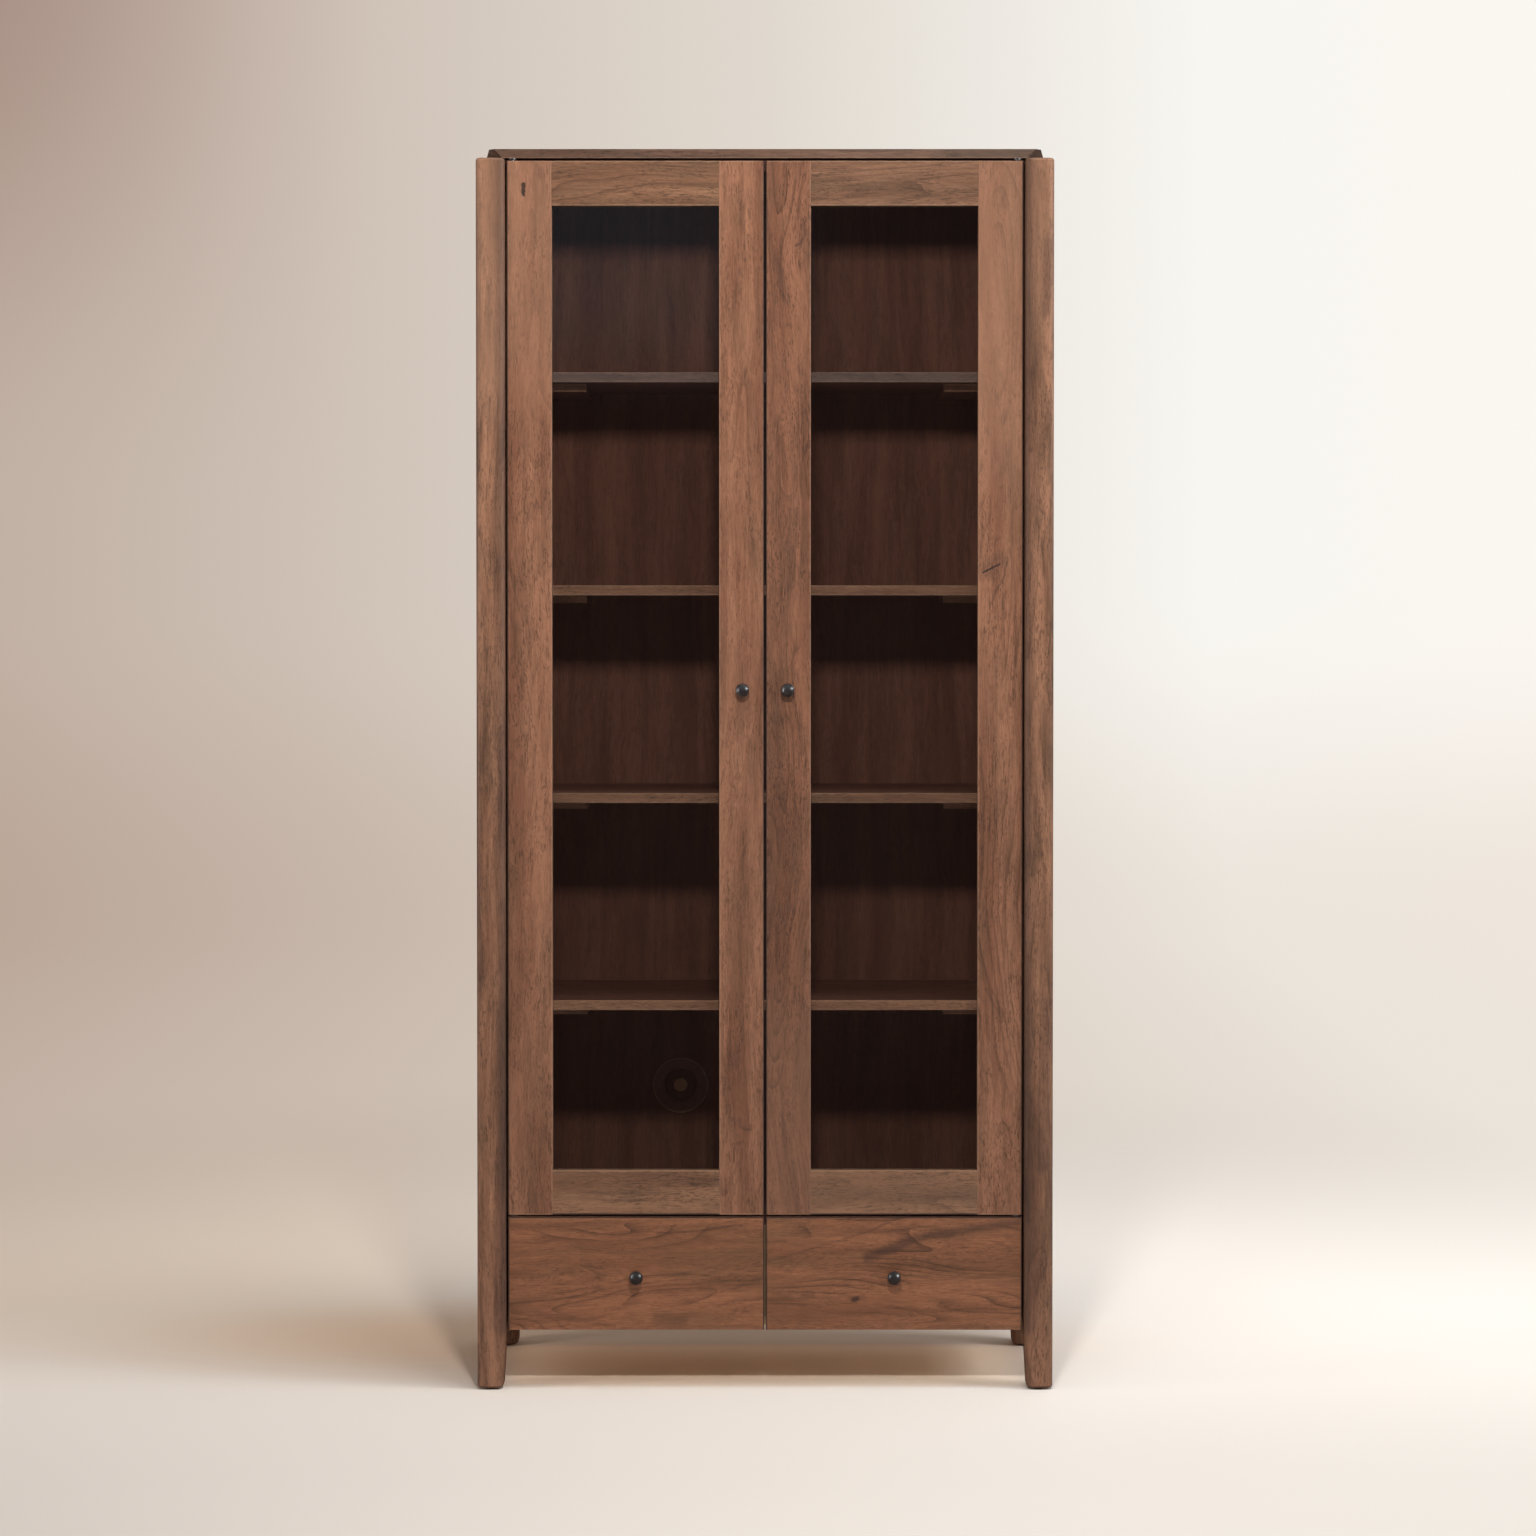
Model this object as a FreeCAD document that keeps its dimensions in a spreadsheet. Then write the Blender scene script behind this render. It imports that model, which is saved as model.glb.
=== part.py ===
import FreeCAD, Part
import os
import re

import Sketcher

# China cabinet: two framed glass doors over two drawers, between four posts that run down as legs.
# Frame: +X to the right, the front faces -Y, +Z up, origin at the bottom centre of the whole cabinet.
# Left-hand pieces are built here, at negative X, and mirrored to the right.

SIZES = (
    # the case
    ("case_width", 920),
    ("case_depth", 400),
    ("post_height", 1965),
    ("top_thickness", 15),
    ("top_side_inset", 14.6),
    ("top_front_inset", 10),
    ("top_bevel", 5.6),
    ("top_corner_cut", 28),
    ("top_corner_lean", 0.53),
    # the posts
    ("post_width", 46),
    ("post_depth", 56),
    ("post_crown", 1.2),
    ("post_rounding", 10),
    ("post_top_rounding", 4.5),
    ("foot_taper", 5),
    ("foot_chamfer", 3),
    ("glide_height", 3),
    ("glide_radius", 15),
    ("glide_taper", 1),
    # the side panels and the back panel
    ("panel_bottom", 95),
    ("panel_thickness", 20),
    ("panel_inset", 8),
    ("tongue_depth", 10),
    ("tongue_thickness", 10),
    ("back_thickness", 8),
    ("back_inset", 12),
    ("back_tongue", 8),
    # the boards across the case
    ("board_gap", 4),
    ("board_thickness", 18),
    ("deck_top", 276.8),
    ("bay_floor_bottom", 98),
    ("bay_floor_thickness", 12),
    ("divider_thickness", 16),
    ("dowel_radius", 4),
    ("dowel_length", 34),
    ("dowel_in_panel", 14),
    ("dowel_inset", 40),
    # the shelves, with the height of each top face
    ("shelf_thickness", 16),
    ("shelf_setback", 60),
    ("shelf_play", 1),
    ("shelf_rear_play", 2),
    ("first_shelf_top", 1628),
    ("second_shelf_top", 1286),
    ("third_shelf_top", 952),
    ("fourth_shelf_top", 618),
    ("shelf_pin_radius", 2.5),
    ("shelf_pin_length", 22),
    ("shelf_pin_in_panel", 12),
    ("shelf_pin_inset", 30),
    ("batten_offset", 289),
    ("batten_width", 70),
    ("batten_thickness", 12),
    ("batten_setback", 50),
    ("batten_length", 230),
    # the doors
    ("door_setback", 9),
    ("door_gap", 3),
    ("door_bottom", 279.5),
    ("door_height", 1681),
    ("door_width", 409.5),
    ("door_thickness", 22),
    ("stile_width", 71.5),
    ("rail_height", 71),
    ("lip_depth", 8),
    ("rebate_width", 9),
    ("tenon_length", 34),
    ("tenon_height", 40),
    ("tenon_thickness", 8),
    ("tenon_offset", 12),
    ("tenon_play", 1),
    ("edge_easing", 0.8),
    ("glass_thickness", 4),
    ("glass_play", 1),
    # the pivot hinges
    ("pivot_inset", 9),
    ("pivot_depth", 6),
    ("pivot_pin_radius", 2.5),
    ("pivot_pin_length", 12),
    ("pivot_clearance", 0.05),
    ("bush_radius", 4),
    ("bush_length", 14),
    ("plate_width", 12),
    ("plate_length", 64),
    ("plate_thickness", 2),
    ("collar_radius", 3.6),
    ("lower_collar_height", 0.6),
    ("upper_collar_height", 2.3),
    # the magnetic catches
    ("catch_offset", 24),
    ("catch_width", 40),
    ("catch_height", 12),
    ("catch_depth", 16),
    ("strike_thickness", 1.2),
    ("strike_play", 0.3),
    ("strike_margin", 5),
    ("strike_inset", 1),
    # the drawers
    ("drawer_bottom", 94.8),
    ("drawer_height", 181.5),
    ("drawer_front_thickness", 20),
    ("drawer_play", 3),
    ("drawer_length", 332),
    ("drawer_box_bottom", 118),
    ("drawer_box_height", 120),
    ("drawer_side_thickness", 12),
    ("drawer_panel_offset", 8),
    ("drawer_panel_thickness", 5),
    ("drawer_groove_depth", 5),
    ("runner_offset", 54),
    ("runner_height", 12),
    ("runner_reach", 5.7),
    ("runner_length", 335),
    ("runner_play", 0.3),
    ("runner_setback", 12),
    # the knobs
    ("knob_radius", 11),
    ("knob_reach", 27),
    ("knob_foot_radius", 8),
    ("knob_foot_height", 2),
    ("knob_foot_slope", 1.2),
    ("knob_neck_radius", 5.5),
    ("knob_neck_height", 9),
    ("knob_rim_height", 15),
    ("knob_waist_height", 19),
    ("knob_bore_depth", 14),
    ("door_knob_offset", 36),
    ("door_knob_height", 1119),
    ("drawer_knob_offset", 206),
    ("drawer_knob_height", 181),
    # the screws
    ("screw_head_radius", 3.6),
    ("screw_head_height", 1.6),
    ("screw_shank_radius", 1.8),
    ("hinge_screw_length", 15),
    ("hinge_screw_inset", 28),
    ("hinge_screw_spacing", 24),
    ("top_screw_length", 28),
    ("top_screw_side_inset", 60),
    ("top_screw_edge_inset", 45),
    ("top_screw_offset", 120),
    ("knob_screw_head_radius", 4.5),
    ("knob_screw_head_height", 2.4),
    ("knob_screw_radius", 2),
    # the cable port in the back panel
    ("port_offset", 144),
    ("port_height", 439),
    ("port_bore_radius", 30),
    ("port_flange_radius", 49),
    ("port_flange_thickness", 3),
    ("port_flange_rim", 1),
    ("port_flange_bevel", 4),
    ("port_inner_radius", 27.5),
    ("port_inner_rim", 1.5),
    ("port_inner_bevel", 2),
    ("port_cap_thickness", 3),
    ("port_cap_setback", 1),
    ("port_boss_radius", 11.5),
    ("port_boss_height", 3),
    ("port_boss_foot", 2),
    ("port_boss_foot_height", 0.5),
    ("port_boss_taper", 1),
    # how far a cut runs out past the face it opens through
    ("overcut", 1),
)

# an edge this near to a face lies on it, in millimetres
ON_FACE = 0.01
# an edge this many times taller than it is wide or deep stands upright
UPRIGHT_RATIO = 5
# the dome's arc starts out through a point at these shares of the knob's radius and of the dome's height
DOME_START = (0.72, 0.69)

POST_FRONT = "((knob_reach - door_setback - case_depth) / 2)"
POST_REAR = "((knob_reach - door_setback + case_depth) / 2)"
CASE_LEFT = "(-case_width / 2)"
POST_INNER = "(case_width / 2 - post_width)"
PANEL_INNER = "(case_width / 2 - panel_inset - panel_thickness)"
BACK_FACE = "(" + POST_REAR + " - back_inset - back_thickness)"
DOOR_FACE = "(" + POST_FRONT + " + door_setback)"
DOOR_BACK = "(" + DOOR_FACE + " + door_thickness)"
DOOR_LEFT = "(door_gap - " + POST_INNER + ")"
DOOR_TOP = "(door_bottom + door_height)"
BOARD_FRONT = "(" + DOOR_BACK + " + board_gap)"
DECK_BOTTOM = "(deck_top - board_thickness)"
CASE_TOP_BOTTOM = "(post_height - board_thickness)"
BAY_FLOOR_TOP = "(bay_floor_bottom + bay_floor_thickness)"
PIVOT_X = "(" + DOOR_LEFT + " + pivot_inset)"
PIVOT_Y = "(" + DOOR_FACE + " + pivot_depth)"
FRONT_BACK = "(" + DOOR_FACE + " + drawer_front_thickness)"
BOX_REAR = "(" + FRONT_BACK + " + drawer_length)"
BOX_LEFT = "(drawer_play - " + POST_INNER + ")"
BOX_RIGHT = "(-divider_thickness / 2 - drawer_play)"
SHELF_TOPS = ("first_shelf_top", "second_shelf_top", "third_shelf_top", "fourth_shelf_top")

doc = FreeCAD.newDocument("china_cabinet")
sheet = doc.addObject("Spreadsheet::Sheet", "sizes")
for row, (alias, number) in enumerate(SIZES, start=1):
    sheet.set("A%d" % row, alias)
    sheet.set("B%d" % row, str(number))
    sheet.setAlias("B%d" % row, alias)
doc.recompute()

ALIASES = {alias for alias, number in SIZES}
nodes = []


def rule(text):
    """Turn a formula in plain alias names into one that reads the sheet."""
    return re.sub(r"[a-z_]+", lambda word: name_in_sheet(word.group(0)), text)


def name_in_sheet(word):
    """Put the sheet's name before a word that is one of its aliases."""
    return "sizes." + word if word in ALIASES else word


def bind(thing, **rules):
    """Bind properties of a document object to formulas."""
    for name, text in rules.items():
        thing.setExpression(name, rule(text))


def place(thing, x="0", y="0", z="0"):
    """Bind an object's position to formulas."""
    for axis, text in zip("xyz", (x, y, z)):
        thing.setExpression("Placement.Base." + axis, rule(text))


def turn(thing, axis, degrees):
    """Turn an object about an axis through its own origin."""
    thing.Placement.Rotation = FreeCAD.Rotation(FreeCAD.Vector(*axis), degrees)


def keep(piece, label):
    """Name a finished sub-part and put it on the list of nodes."""
    piece.Label = label
    nodes.append(piece)
    return piece


def new_body(name):
    """An empty PartDesign body."""
    return doc.addObject("PartDesign::Body", name)


def origin_plane(body, role):
    """One of a body's own origin planes."""
    return next(feature for feature in body.Origin.OriginFeatures if feature.Role == role)


def new_sketch(body, name, role="XY_Plane", lift="0"):
    """An empty sketch on one of the body's origin planes, lifted along the plane's normal."""
    sketch = body.newObject("Sketcher::SketchObject", name)
    sketch.AttachmentSupport = [(origin_plane(body, role), "")]
    sketch.MapMode = "FlatFace"
    sketch.setExpression("AttachmentOffset.Base.z", rule(lift))
    return sketch


def fix_point(sketch, edge, end, x, y):
    """Hold an edge's end at a place given by two formulas."""
    now = sketch.getPoint(edge, end)
    for kind, text, distance in (("DistanceX", x, now.x), ("DistanceY", y, now.y)):
        constraint = sketch.addConstraint(Sketcher.Constraint(kind, -1, 1, edge, end, distance))
        sketch.setExpression("Constraints[%d]" % constraint, rule(text))


def draw_outline(sketch, corners):
    """Draw a closed polygon through corners given as pairs of formulas."""
    count = len(corners)
    start = [FreeCAD.Vector(index, index * index, 0) for index in range(count)]
    for index in range(count):
        sketch.addGeometry(Part.LineSegment(start[index], start[(index + 1) % count]))
    for index in range(count):
        sketch.addConstraint(Sketcher.Constraint("Coincident", index, 2, (index + 1) % count, 1))
    for index, (x, y) in enumerate(corners):
        fix_point(sketch, index, 1, x, y)


def pad(body, sketch, length, name="blank"):
    """Pad a sketch along its normal."""
    feature = body.newObject("PartDesign::Pad", name)
    feature.Profile = sketch
    bind(feature, Length=length)
    return feature


def block(body, kind, name, corner, extent):
    """Add or take away a box inside a body; kind is Additive or Subtractive."""
    feature = body.newObject("PartDesign::" + kind + "Box", name)
    bind(feature, Length=extent[0], Width=extent[1], Height=extent[2])
    place(feature, *corner)
    return feature


def bore(body, name, centre, radius, depth):
    """Take away an upright cylinder inside a body, from its centre point upwards."""
    feature = body.newObject("PartDesign::SubtractiveCylinder", name)
    bind(feature, Radius=radius, Height=depth)
    place(feature, *centre)
    return feature


def dress(body, kind, name, size, chosen):
    """Fillet or chamfer the edges of the body's last feature that the test picks out."""
    doc.recompute()
    base = body.Tip
    edges = ["Edge%d" % number for number, edge in enumerate(base.Shape.Edges, start=1) if chosen(edge)]
    feature = body.newObject("PartDesign::" + kind, name)
    feature.Base = (base, edges)
    if kind == "Fillet":
        bind(feature, Radius=size)
    else:
        bind(feature, Size=size)
    return feature


def span_along(direction, near, far):
    """Low corner and length of a stretch measured from zero one way or the other."""
    low = near if direction > 0 else "-(" + far + ")"
    return low, "(" + far + ") - (" + near + ")"


def box(name, corner, extent):
    """A plain rectangular board or block."""
    board = doc.addObject("Part::Box", name)
    bind(board, Length=extent[0], Width=extent[1], Height=extent[2])
    place(board, *corner)
    return board


def cylinder(name, radius, height, place_at, axis=None, degrees=0):
    """A round bar that starts at a point and runs along +Z, or along a turned +Z."""
    bar = doc.addObject("Part::Cylinder", name)
    bind(bar, Radius=radius, Height=height)
    if axis:
        turn(bar, axis, degrees)
    place(bar, *place_at)
    return bar


def cone(name, lower_radius, upper_radius, height, place_at):
    """An upright cone frustum."""
    frustum = doc.addObject("Part::Cone", name)
    bind(frustum, Radius1=lower_radius, Radius2=upper_radius, Height=height)
    place(frustum, *place_at)
    return frustum


def fuse(name, pieces):
    """Join solids into one."""
    joined = doc.addObject("Part::MultiFuse", name)
    joined.Shapes = pieces
    joined.Refine = True
    return joined


def cut(name, piece, tool):
    """Take one shape out of another."""
    result = doc.addObject("Part::Cut", name)
    result.Base = piece
    result.Tool = tool
    return result


def group(name, pieces):
    """Several separate solids in one sub-part."""
    together = doc.addObject("Part::Compound", name)
    together.Links = pieces
    return together


def mirrored(piece, name):
    """The same piece on the right-hand side of the cabinet."""
    other = doc.addObject("Part::Mirroring", name)
    other.Source = piece
    other.Normal = FreeCAD.Vector(1, 0, 0)
    return other


def keep_pair(piece, label):
    """Keep a left-hand piece and its right-hand mirror image."""
    keep(piece, label)
    right_label = label.replace("left_", "right_")
    keep(mirrored(piece, right_label + "_mirror"), right_label)


def both_sides(pieces):
    """The given left-hand pieces followed by their right-hand images."""
    return pieces + [mirrored(piece, piece.Name + "_right") for piece in pieces]


def is_upright(edge):
    """True for a straight edge that runs mostly along Z."""
    extent = edge.BoundBox
    return extent.ZLength > UPRIGHT_RATIO * max(extent.XLength, extent.YLength, ON_FACE)


def is_on_front(edge):
    """True for an edge that lies on a board's front face."""
    return edge.BoundBox.YMax < ON_FACE


def is_across_front(edge):
    """True for an edge on a board's front face that runs along X."""
    return is_on_front(edge) and edge.BoundBox.XLength > ON_FACE


def countersunk_screw(name, length, x, y, z, head_up=True):
    """A wood screw with its head's flat face at the given point, driven down or up."""
    shank = cylinder(name + "_shank", "screw_shank_radius", length + " - screw_head_height",
                     ("0", "0", "-" + length))
    head = cone(name + "_head", "screw_shank_radius", "screw_head_radius", "screw_head_height",
                ("0", "0", "-screw_head_height"))
    screw = fuse(name, [shank, head])
    if not head_up:
        turn(screw, (1, 0, 0), 180)
    place(screw, x, y, z)
    return screw


def front_left_post(label):
    """A post with a crowned front face; its sketch starts at the outer front corner of the section."""
    body = new_body(label + "_body")
    place(body, CASE_LEFT, POST_FRONT, "glide_height")
    height = "(post_height - glide_height)"
    section = new_sketch(body, label + "_section")
    width = sheet.get("post_width")
    depth = sheet.get("post_depth")
    crown = sheet.get("post_crown")
    outer_front = FreeCAD.Vector(0, crown, 0)
    inner_front = FreeCAD.Vector(width, crown, 0)
    inner_rear = FreeCAD.Vector(width, depth, 0)
    outer_rear = FreeCAD.Vector(0, depth, 0)
    section.addGeometry(Part.Arc(outer_front, FreeCAD.Vector(width / 2, 0, 0), inner_front))
    for start, end in ((inner_front, inner_rear), (inner_rear, outer_rear), (outer_rear, outer_front)):
        section.addGeometry(Part.LineSegment(start, end))
    for index in range(4):
        section.addConstraint(Sketcher.Constraint("Coincident", index, 2, (index + 1) % 4, 1))
    fix_point(section, 0, 1, "0", "post_crown")
    fix_point(section, 1, 1, "post_width", "post_crown")
    fix_point(section, 2, 1, "post_width", "post_depth")
    fix_point(section, 3, 1, "0", "post_depth")
    radius = section.addConstraint(Sketcher.Constraint("Radius", 0, section.Geometry[0].Radius))
    section.setExpression("Constraints[%d]" % radius,
                          rule("(post_width * post_width / 4 + post_crown * post_crown) / (2 * post_crown)"))
    pad(body, section, height)
    taper = new_sketch(body, label + "_taper", "XZ_Plane")
    draw_outline(taper, (("post_width - foot_taper", "0"), ("post_width + overcut", "0"),
                         ("post_width + overcut", "panel_bottom - glide_height"),
                         ("post_width", "panel_bottom - glide_height")))
    pocket = body.newObject("PartDesign::Pocket", "foot_taper_cut")
    pocket.Profile = taper
    pocket.Type = 1
    pocket.Midplane = True
    dress(body, "Fillet", "rounded_edges", "post_rounding", is_upright)
    top = sheet.get("post_height") - sheet.get("glide_height")
    dress(body, "Fillet", "top_rounding", "post_top_rounding",
          lambda edge: edge.BoundBox.ZMin > top - ON_FACE)
    dress(body, "Chamfer", "foot_edge", "foot_chamfer", lambda edge: edge.BoundBox.ZMax < ON_FACE)
    block(body, "Subtractive", "panel_groove",
          ("panel_inset + (panel_thickness - tongue_thickness) / 2", "post_depth - tongue_depth",
           "panel_bottom - glide_height"),
          ("tongue_thickness", "tongue_depth + overcut", height))
    return body


def rear_left_post(front):
    """The front post turned about the middle of the case's depth, with a groove for the back panel."""
    turned = doc.addObject("Part::Mirroring", "left_rear_post_blank")
    turned.Source = front
    turned.Normal = FreeCAD.Vector(0, 1, 0)
    turned.setExpression("Base.y", rule("(" + POST_FRONT + " + " + POST_REAR + ") / 2"))
    groove = box("back_panel_groove", ("-" + POST_INNER + " - back_tongue", BACK_FACE, "panel_bottom"),
                 ("back_tongue + overcut", "back_thickness", "post_height"))
    return cut("left_rear_post_cut", turned, groove)


def notched_board(name, thickness, corner, extent, notch_x, front_notch, rear_notch):
    """A board across the case with its corners cut back round the posts."""
    body = new_body(name + "_body")
    place(body, *corner)
    width, depth = extent
    corners = [("0", rear_notch[1]), (rear_notch[0], rear_notch[1]), (rear_notch[0], depth),
               (width + " - " + rear_notch[0], depth), (width + " - " + rear_notch[0], rear_notch[1]),
               (width, rear_notch[1])]
    if front_notch:
        corners += [(width, front_notch), (width + " - " + notch_x, front_notch),
                    (width + " - " + notch_x, "0"), (notch_x, "0"), (notch_x, front_notch),
                    ("0", front_notch)]
    else:
        corners += [(width, "0"), ("0", "0")]
    outline = new_sketch(body, name + "_outline")
    draw_outline(outline, corners)
    pad(body, outline, thickness)
    return body


def case_board(name, bottom, thickness):
    """A fixed board that fills the case between the side panels, behind the doors or drawers."""
    return notched_board(name, thickness, ("-" + PANEL_INNER, BOARD_FRONT, bottom),
                         ("2 * " + PANEL_INNER, "(" + BACK_FACE + " - " + BOARD_FRONT + ")"),
                         "(" + PANEL_INNER + " - " + POST_INNER + ")",
                         "(post_depth - door_setback - door_thickness - board_gap)",
                         ("(" + PANEL_INNER + " - " + POST_INNER + ")",
                          "(" + POST_REAR + " - post_depth - " + BOARD_FRONT + ")"))


def shelf(name, top):
    """A loose shelf, notched round the rear posts, with its front edge eased."""
    width = "(2 * (" + PANEL_INNER + " - shelf_play))"
    front = "(" + POST_FRONT + " + shelf_setback)"
    rear_notch = ("(" + PANEL_INNER + " - " + POST_INNER + " + shelf_play)",
                  "(" + POST_REAR + " - post_depth - shelf_rear_play - " + front + ")")
    depth = "(" + BACK_FACE + " - shelf_rear_play - " + front + ")"
    corner = ("shelf_play - " + PANEL_INNER, front, top + " - shelf_thickness")
    body = notched_board(name, "shelf_thickness", corner, (width, depth), "0", None, rear_notch)
    dress(body, "Fillet", "eased_front", "edge_easing", is_across_front)
    return body


def door_stile(label, direction, outer_x):
    """A door stile, measured inwards from its outer edge, with the glass rebate and two mortises."""
    body = new_body(label + "_body")
    place(body, outer_x, DOOR_FACE, "door_bottom")
    across = span_along(direction, "0", "stile_width")
    block(body, "Additive", "blank", (across[0], "0", "0"), (across[1], "door_thickness", "door_height"))
    dress(body, "Fillet", "eased_edges", "edge_easing", is_on_front)
    rebate = span_along(direction, "stile_width - rebate_width", "stile_width + overcut")
    block(body, "Subtractive", "glass_rebate", (rebate[0], "lip_depth", "-overcut"),
          (rebate[1], "door_thickness", "door_height + 2 * overcut"))
    slot = span_along(direction, "stile_width - rebate_width - tenon_length - tenon_play",
                      "stile_width - rebate_width + overcut")
    slot_y = "(lip_depth + (door_thickness - lip_depth - tenon_thickness) / 2)"
    for name, low in (("lower_mortise", "tenon_offset"),
                      ("upper_mortise", "door_height - tenon_offset - tenon_height")):
        block(body, "Subtractive", name, (slot[0], slot_y, low), (slot[1], "tenon_thickness", "tenon_height"))
    return body


def door_rail(label, direction, outer_z):
    """A door rail, measured inwards from its outer edge, with its tenons and the glass rebate."""
    body = new_body(label + "_body")
    place(body, DOOR_LEFT + " + stile_width - rebate_width", DOOR_FACE, outer_z)
    length = "(door_width - 2 * stile_width + 2 * rebate_width)"
    tall = span_along(direction, "0", "rail_height")
    block(body, "Additive", "blank", ("0", "0", tall[0]), (length, "door_thickness", tall[1]))
    dress(body, "Fillet", "eased_edges", "edge_easing", is_across_front)
    for name, left in (("left_shoulder", "-overcut"), ("right_shoulder", length + " - rebate_width")):
        block(body, "Subtractive", name, (left, "-overcut", tall[0] + " - overcut"),
              ("rebate_width + overcut", "lip_depth + overcut", "rail_height + 2 * overcut"))
    rebate = span_along(direction, "rail_height - rebate_width", "rail_height + overcut")
    block(body, "Subtractive", "glass_rebate", ("-overcut", "lip_depth", rebate[0]),
          (length + " + 2 * overcut", "door_thickness", rebate[1]))
    tongue = span_along(direction, "tenon_offset", "tenon_offset + tenon_height")
    tongue_y = "(lip_depth + (door_thickness - lip_depth - tenon_thickness) / 2)"
    for name, left in (("left_tenon", "-tenon_length"), ("right_tenon", length)):
        block(body, "Additive", name, (left, tongue_y, tongue[0]),
              ("tenon_length", "tenon_thickness", tongue[1]))
    return body


def knob(name, x, y, z):
    """A turned mushroom knob with a domed head, standing out of a front face, bored for its screw."""
    body = new_body(name + "_body")
    place(body, x, y, z)
    radius = sheet.get("knob_radius")
    waist = -sheet.get("knob_waist_height")
    reach = -sheet.get("knob_reach")
    across_share, height_share = DOME_START
    half = new_sketch(body, name + "_profile")
    corners = (("0", "0"), ("knob_foot_radius", "0"), ("knob_foot_radius", "-knob_foot_height"),
               ("knob_neck_radius", "-knob_foot_height - knob_foot_slope"),
               ("knob_neck_radius", "-knob_neck_height"), ("knob_radius", "-knob_rim_height"),
               ("knob_radius", "-knob_waist_height"), ("0", "-knob_reach"))
    start = [FreeCAD.Vector(index, index * index, 0) for index in range(6)]
    start += [FreeCAD.Vector(radius, waist, 0), FreeCAD.Vector(0, reach, 0)]
    for index in range(6):
        half.addGeometry(Part.LineSegment(start[index], start[index + 1]))
    half.addGeometry(Part.LineSegment(start[7], start[0]))
    dome_middle = FreeCAD.Vector(radius * across_share, waist + (reach - waist) * height_share, 0)
    half.addGeometry(Part.Arc(start[7], dome_middle, start[6]))
    for index in range(5):
        half.addConstraint(Sketcher.Constraint("Coincident", index, 2, index + 1, 1))
    half.addConstraint(Sketcher.Constraint("Coincident", 6, 2, 0, 1))
    half.addConstraint(Sketcher.Constraint("Coincident", 5, 2, 7, 2))
    half.addConstraint(Sketcher.Constraint("Coincident", 6, 1, 7, 1))
    for index in range(6):
        fix_point(half, index, 1, *corners[index])
    fix_point(half, 5, 2, *corners[6])
    fix_point(half, 6, 1, *corners[7])
    centre = half.addConstraint(Sketcher.Constraint("DistanceX", -1, 1, 7, 3, 0.0))
    half.setExpression("Constraints[%d]" % centre, "0")
    turned = body.newObject("PartDesign::Revolution", "turned_knob")
    turned.Profile = half
    turned.ReferenceAxis = (half, ["V_Axis"])
    turned.Angle = 360
    return body


def knob_screw(name, wall, x, y, z):
    """A pan-head machine screw from behind a wall into the knob in front of it."""
    shank = cylinder(name + "_shank", "knob_screw_radius", wall + " + knob_bore_depth",
                     ("0", "-knob_bore_depth", "0"), (1, 0, 0), -90)
    head = cylinder(name + "_head", "knob_screw_head_radius", "knob_screw_head_height",
                    ("0", wall, "0"), (1, 0, 0), -90)
    screw = fuse(name, [shank, head])
    place(screw, x, y, z)
    return screw


def pivot_plate(name, z, pin_up):
    """A pivot hinge plate: a flat bar with a round nose, a collar and a pin for the door's bush."""
    nose = cylinder(name + "_nose", "plate_width / 2", "plate_thickness", ("0", "0", "0"))
    bar = box(name + "_bar", ("-plate_width / 2", "0", "0"),
              ("plate_width", "plate_length", "plate_thickness"))
    collar_height = "lower_collar_height" if pin_up else "upper_collar_height"
    if pin_up:
        collar_foot = "plate_thickness"
        pin_foot = "plate_thickness"
    else:
        collar_foot = "-" + collar_height
        pin_foot = "-" + collar_height + " - pivot_pin_length"
    collar = cylinder(name + "_collar", "collar_radius", collar_height, ("0", "0", collar_foot))
    pin = cylinder(name + "_pin", "pivot_pin_radius", collar_height + " + pivot_pin_length",
                   ("0", "0", pin_foot))
    plate = fuse(name + "_blank", [nose, bar, collar, pin])
    place(plate, PIVOT_X, PIVOT_Y, z)
    return plate


# ---- the case: posts, panels and boards -------------------------------------------------------

front_post = front_left_post("left_front_post")
keep_pair(front_post, "left_front_post")
keep_pair(rear_left_post(front_post), "left_rear_post")

side_panel_body = new_body("side_panel_body")
place(side_panel_body, CASE_LEFT + " + panel_inset", POST_FRONT + " + post_depth", "panel_bottom")
panel_height = "(post_height - panel_bottom)"
panel_run = "(case_depth - 2 * post_depth)"
tongue_x = "(panel_thickness - tongue_thickness) / 2"
block(side_panel_body, "Additive", "blank", ("0", "0", "0"), ("panel_thickness", panel_run, panel_height))
for tongue_name, tongue_y in (("front_tongue", "-tongue_depth"), ("rear_tongue", panel_run)):
    block(side_panel_body, "Additive", tongue_name, (tongue_x, tongue_y, "0"),
          ("tongue_thickness", "tongue_depth", panel_height))

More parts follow.
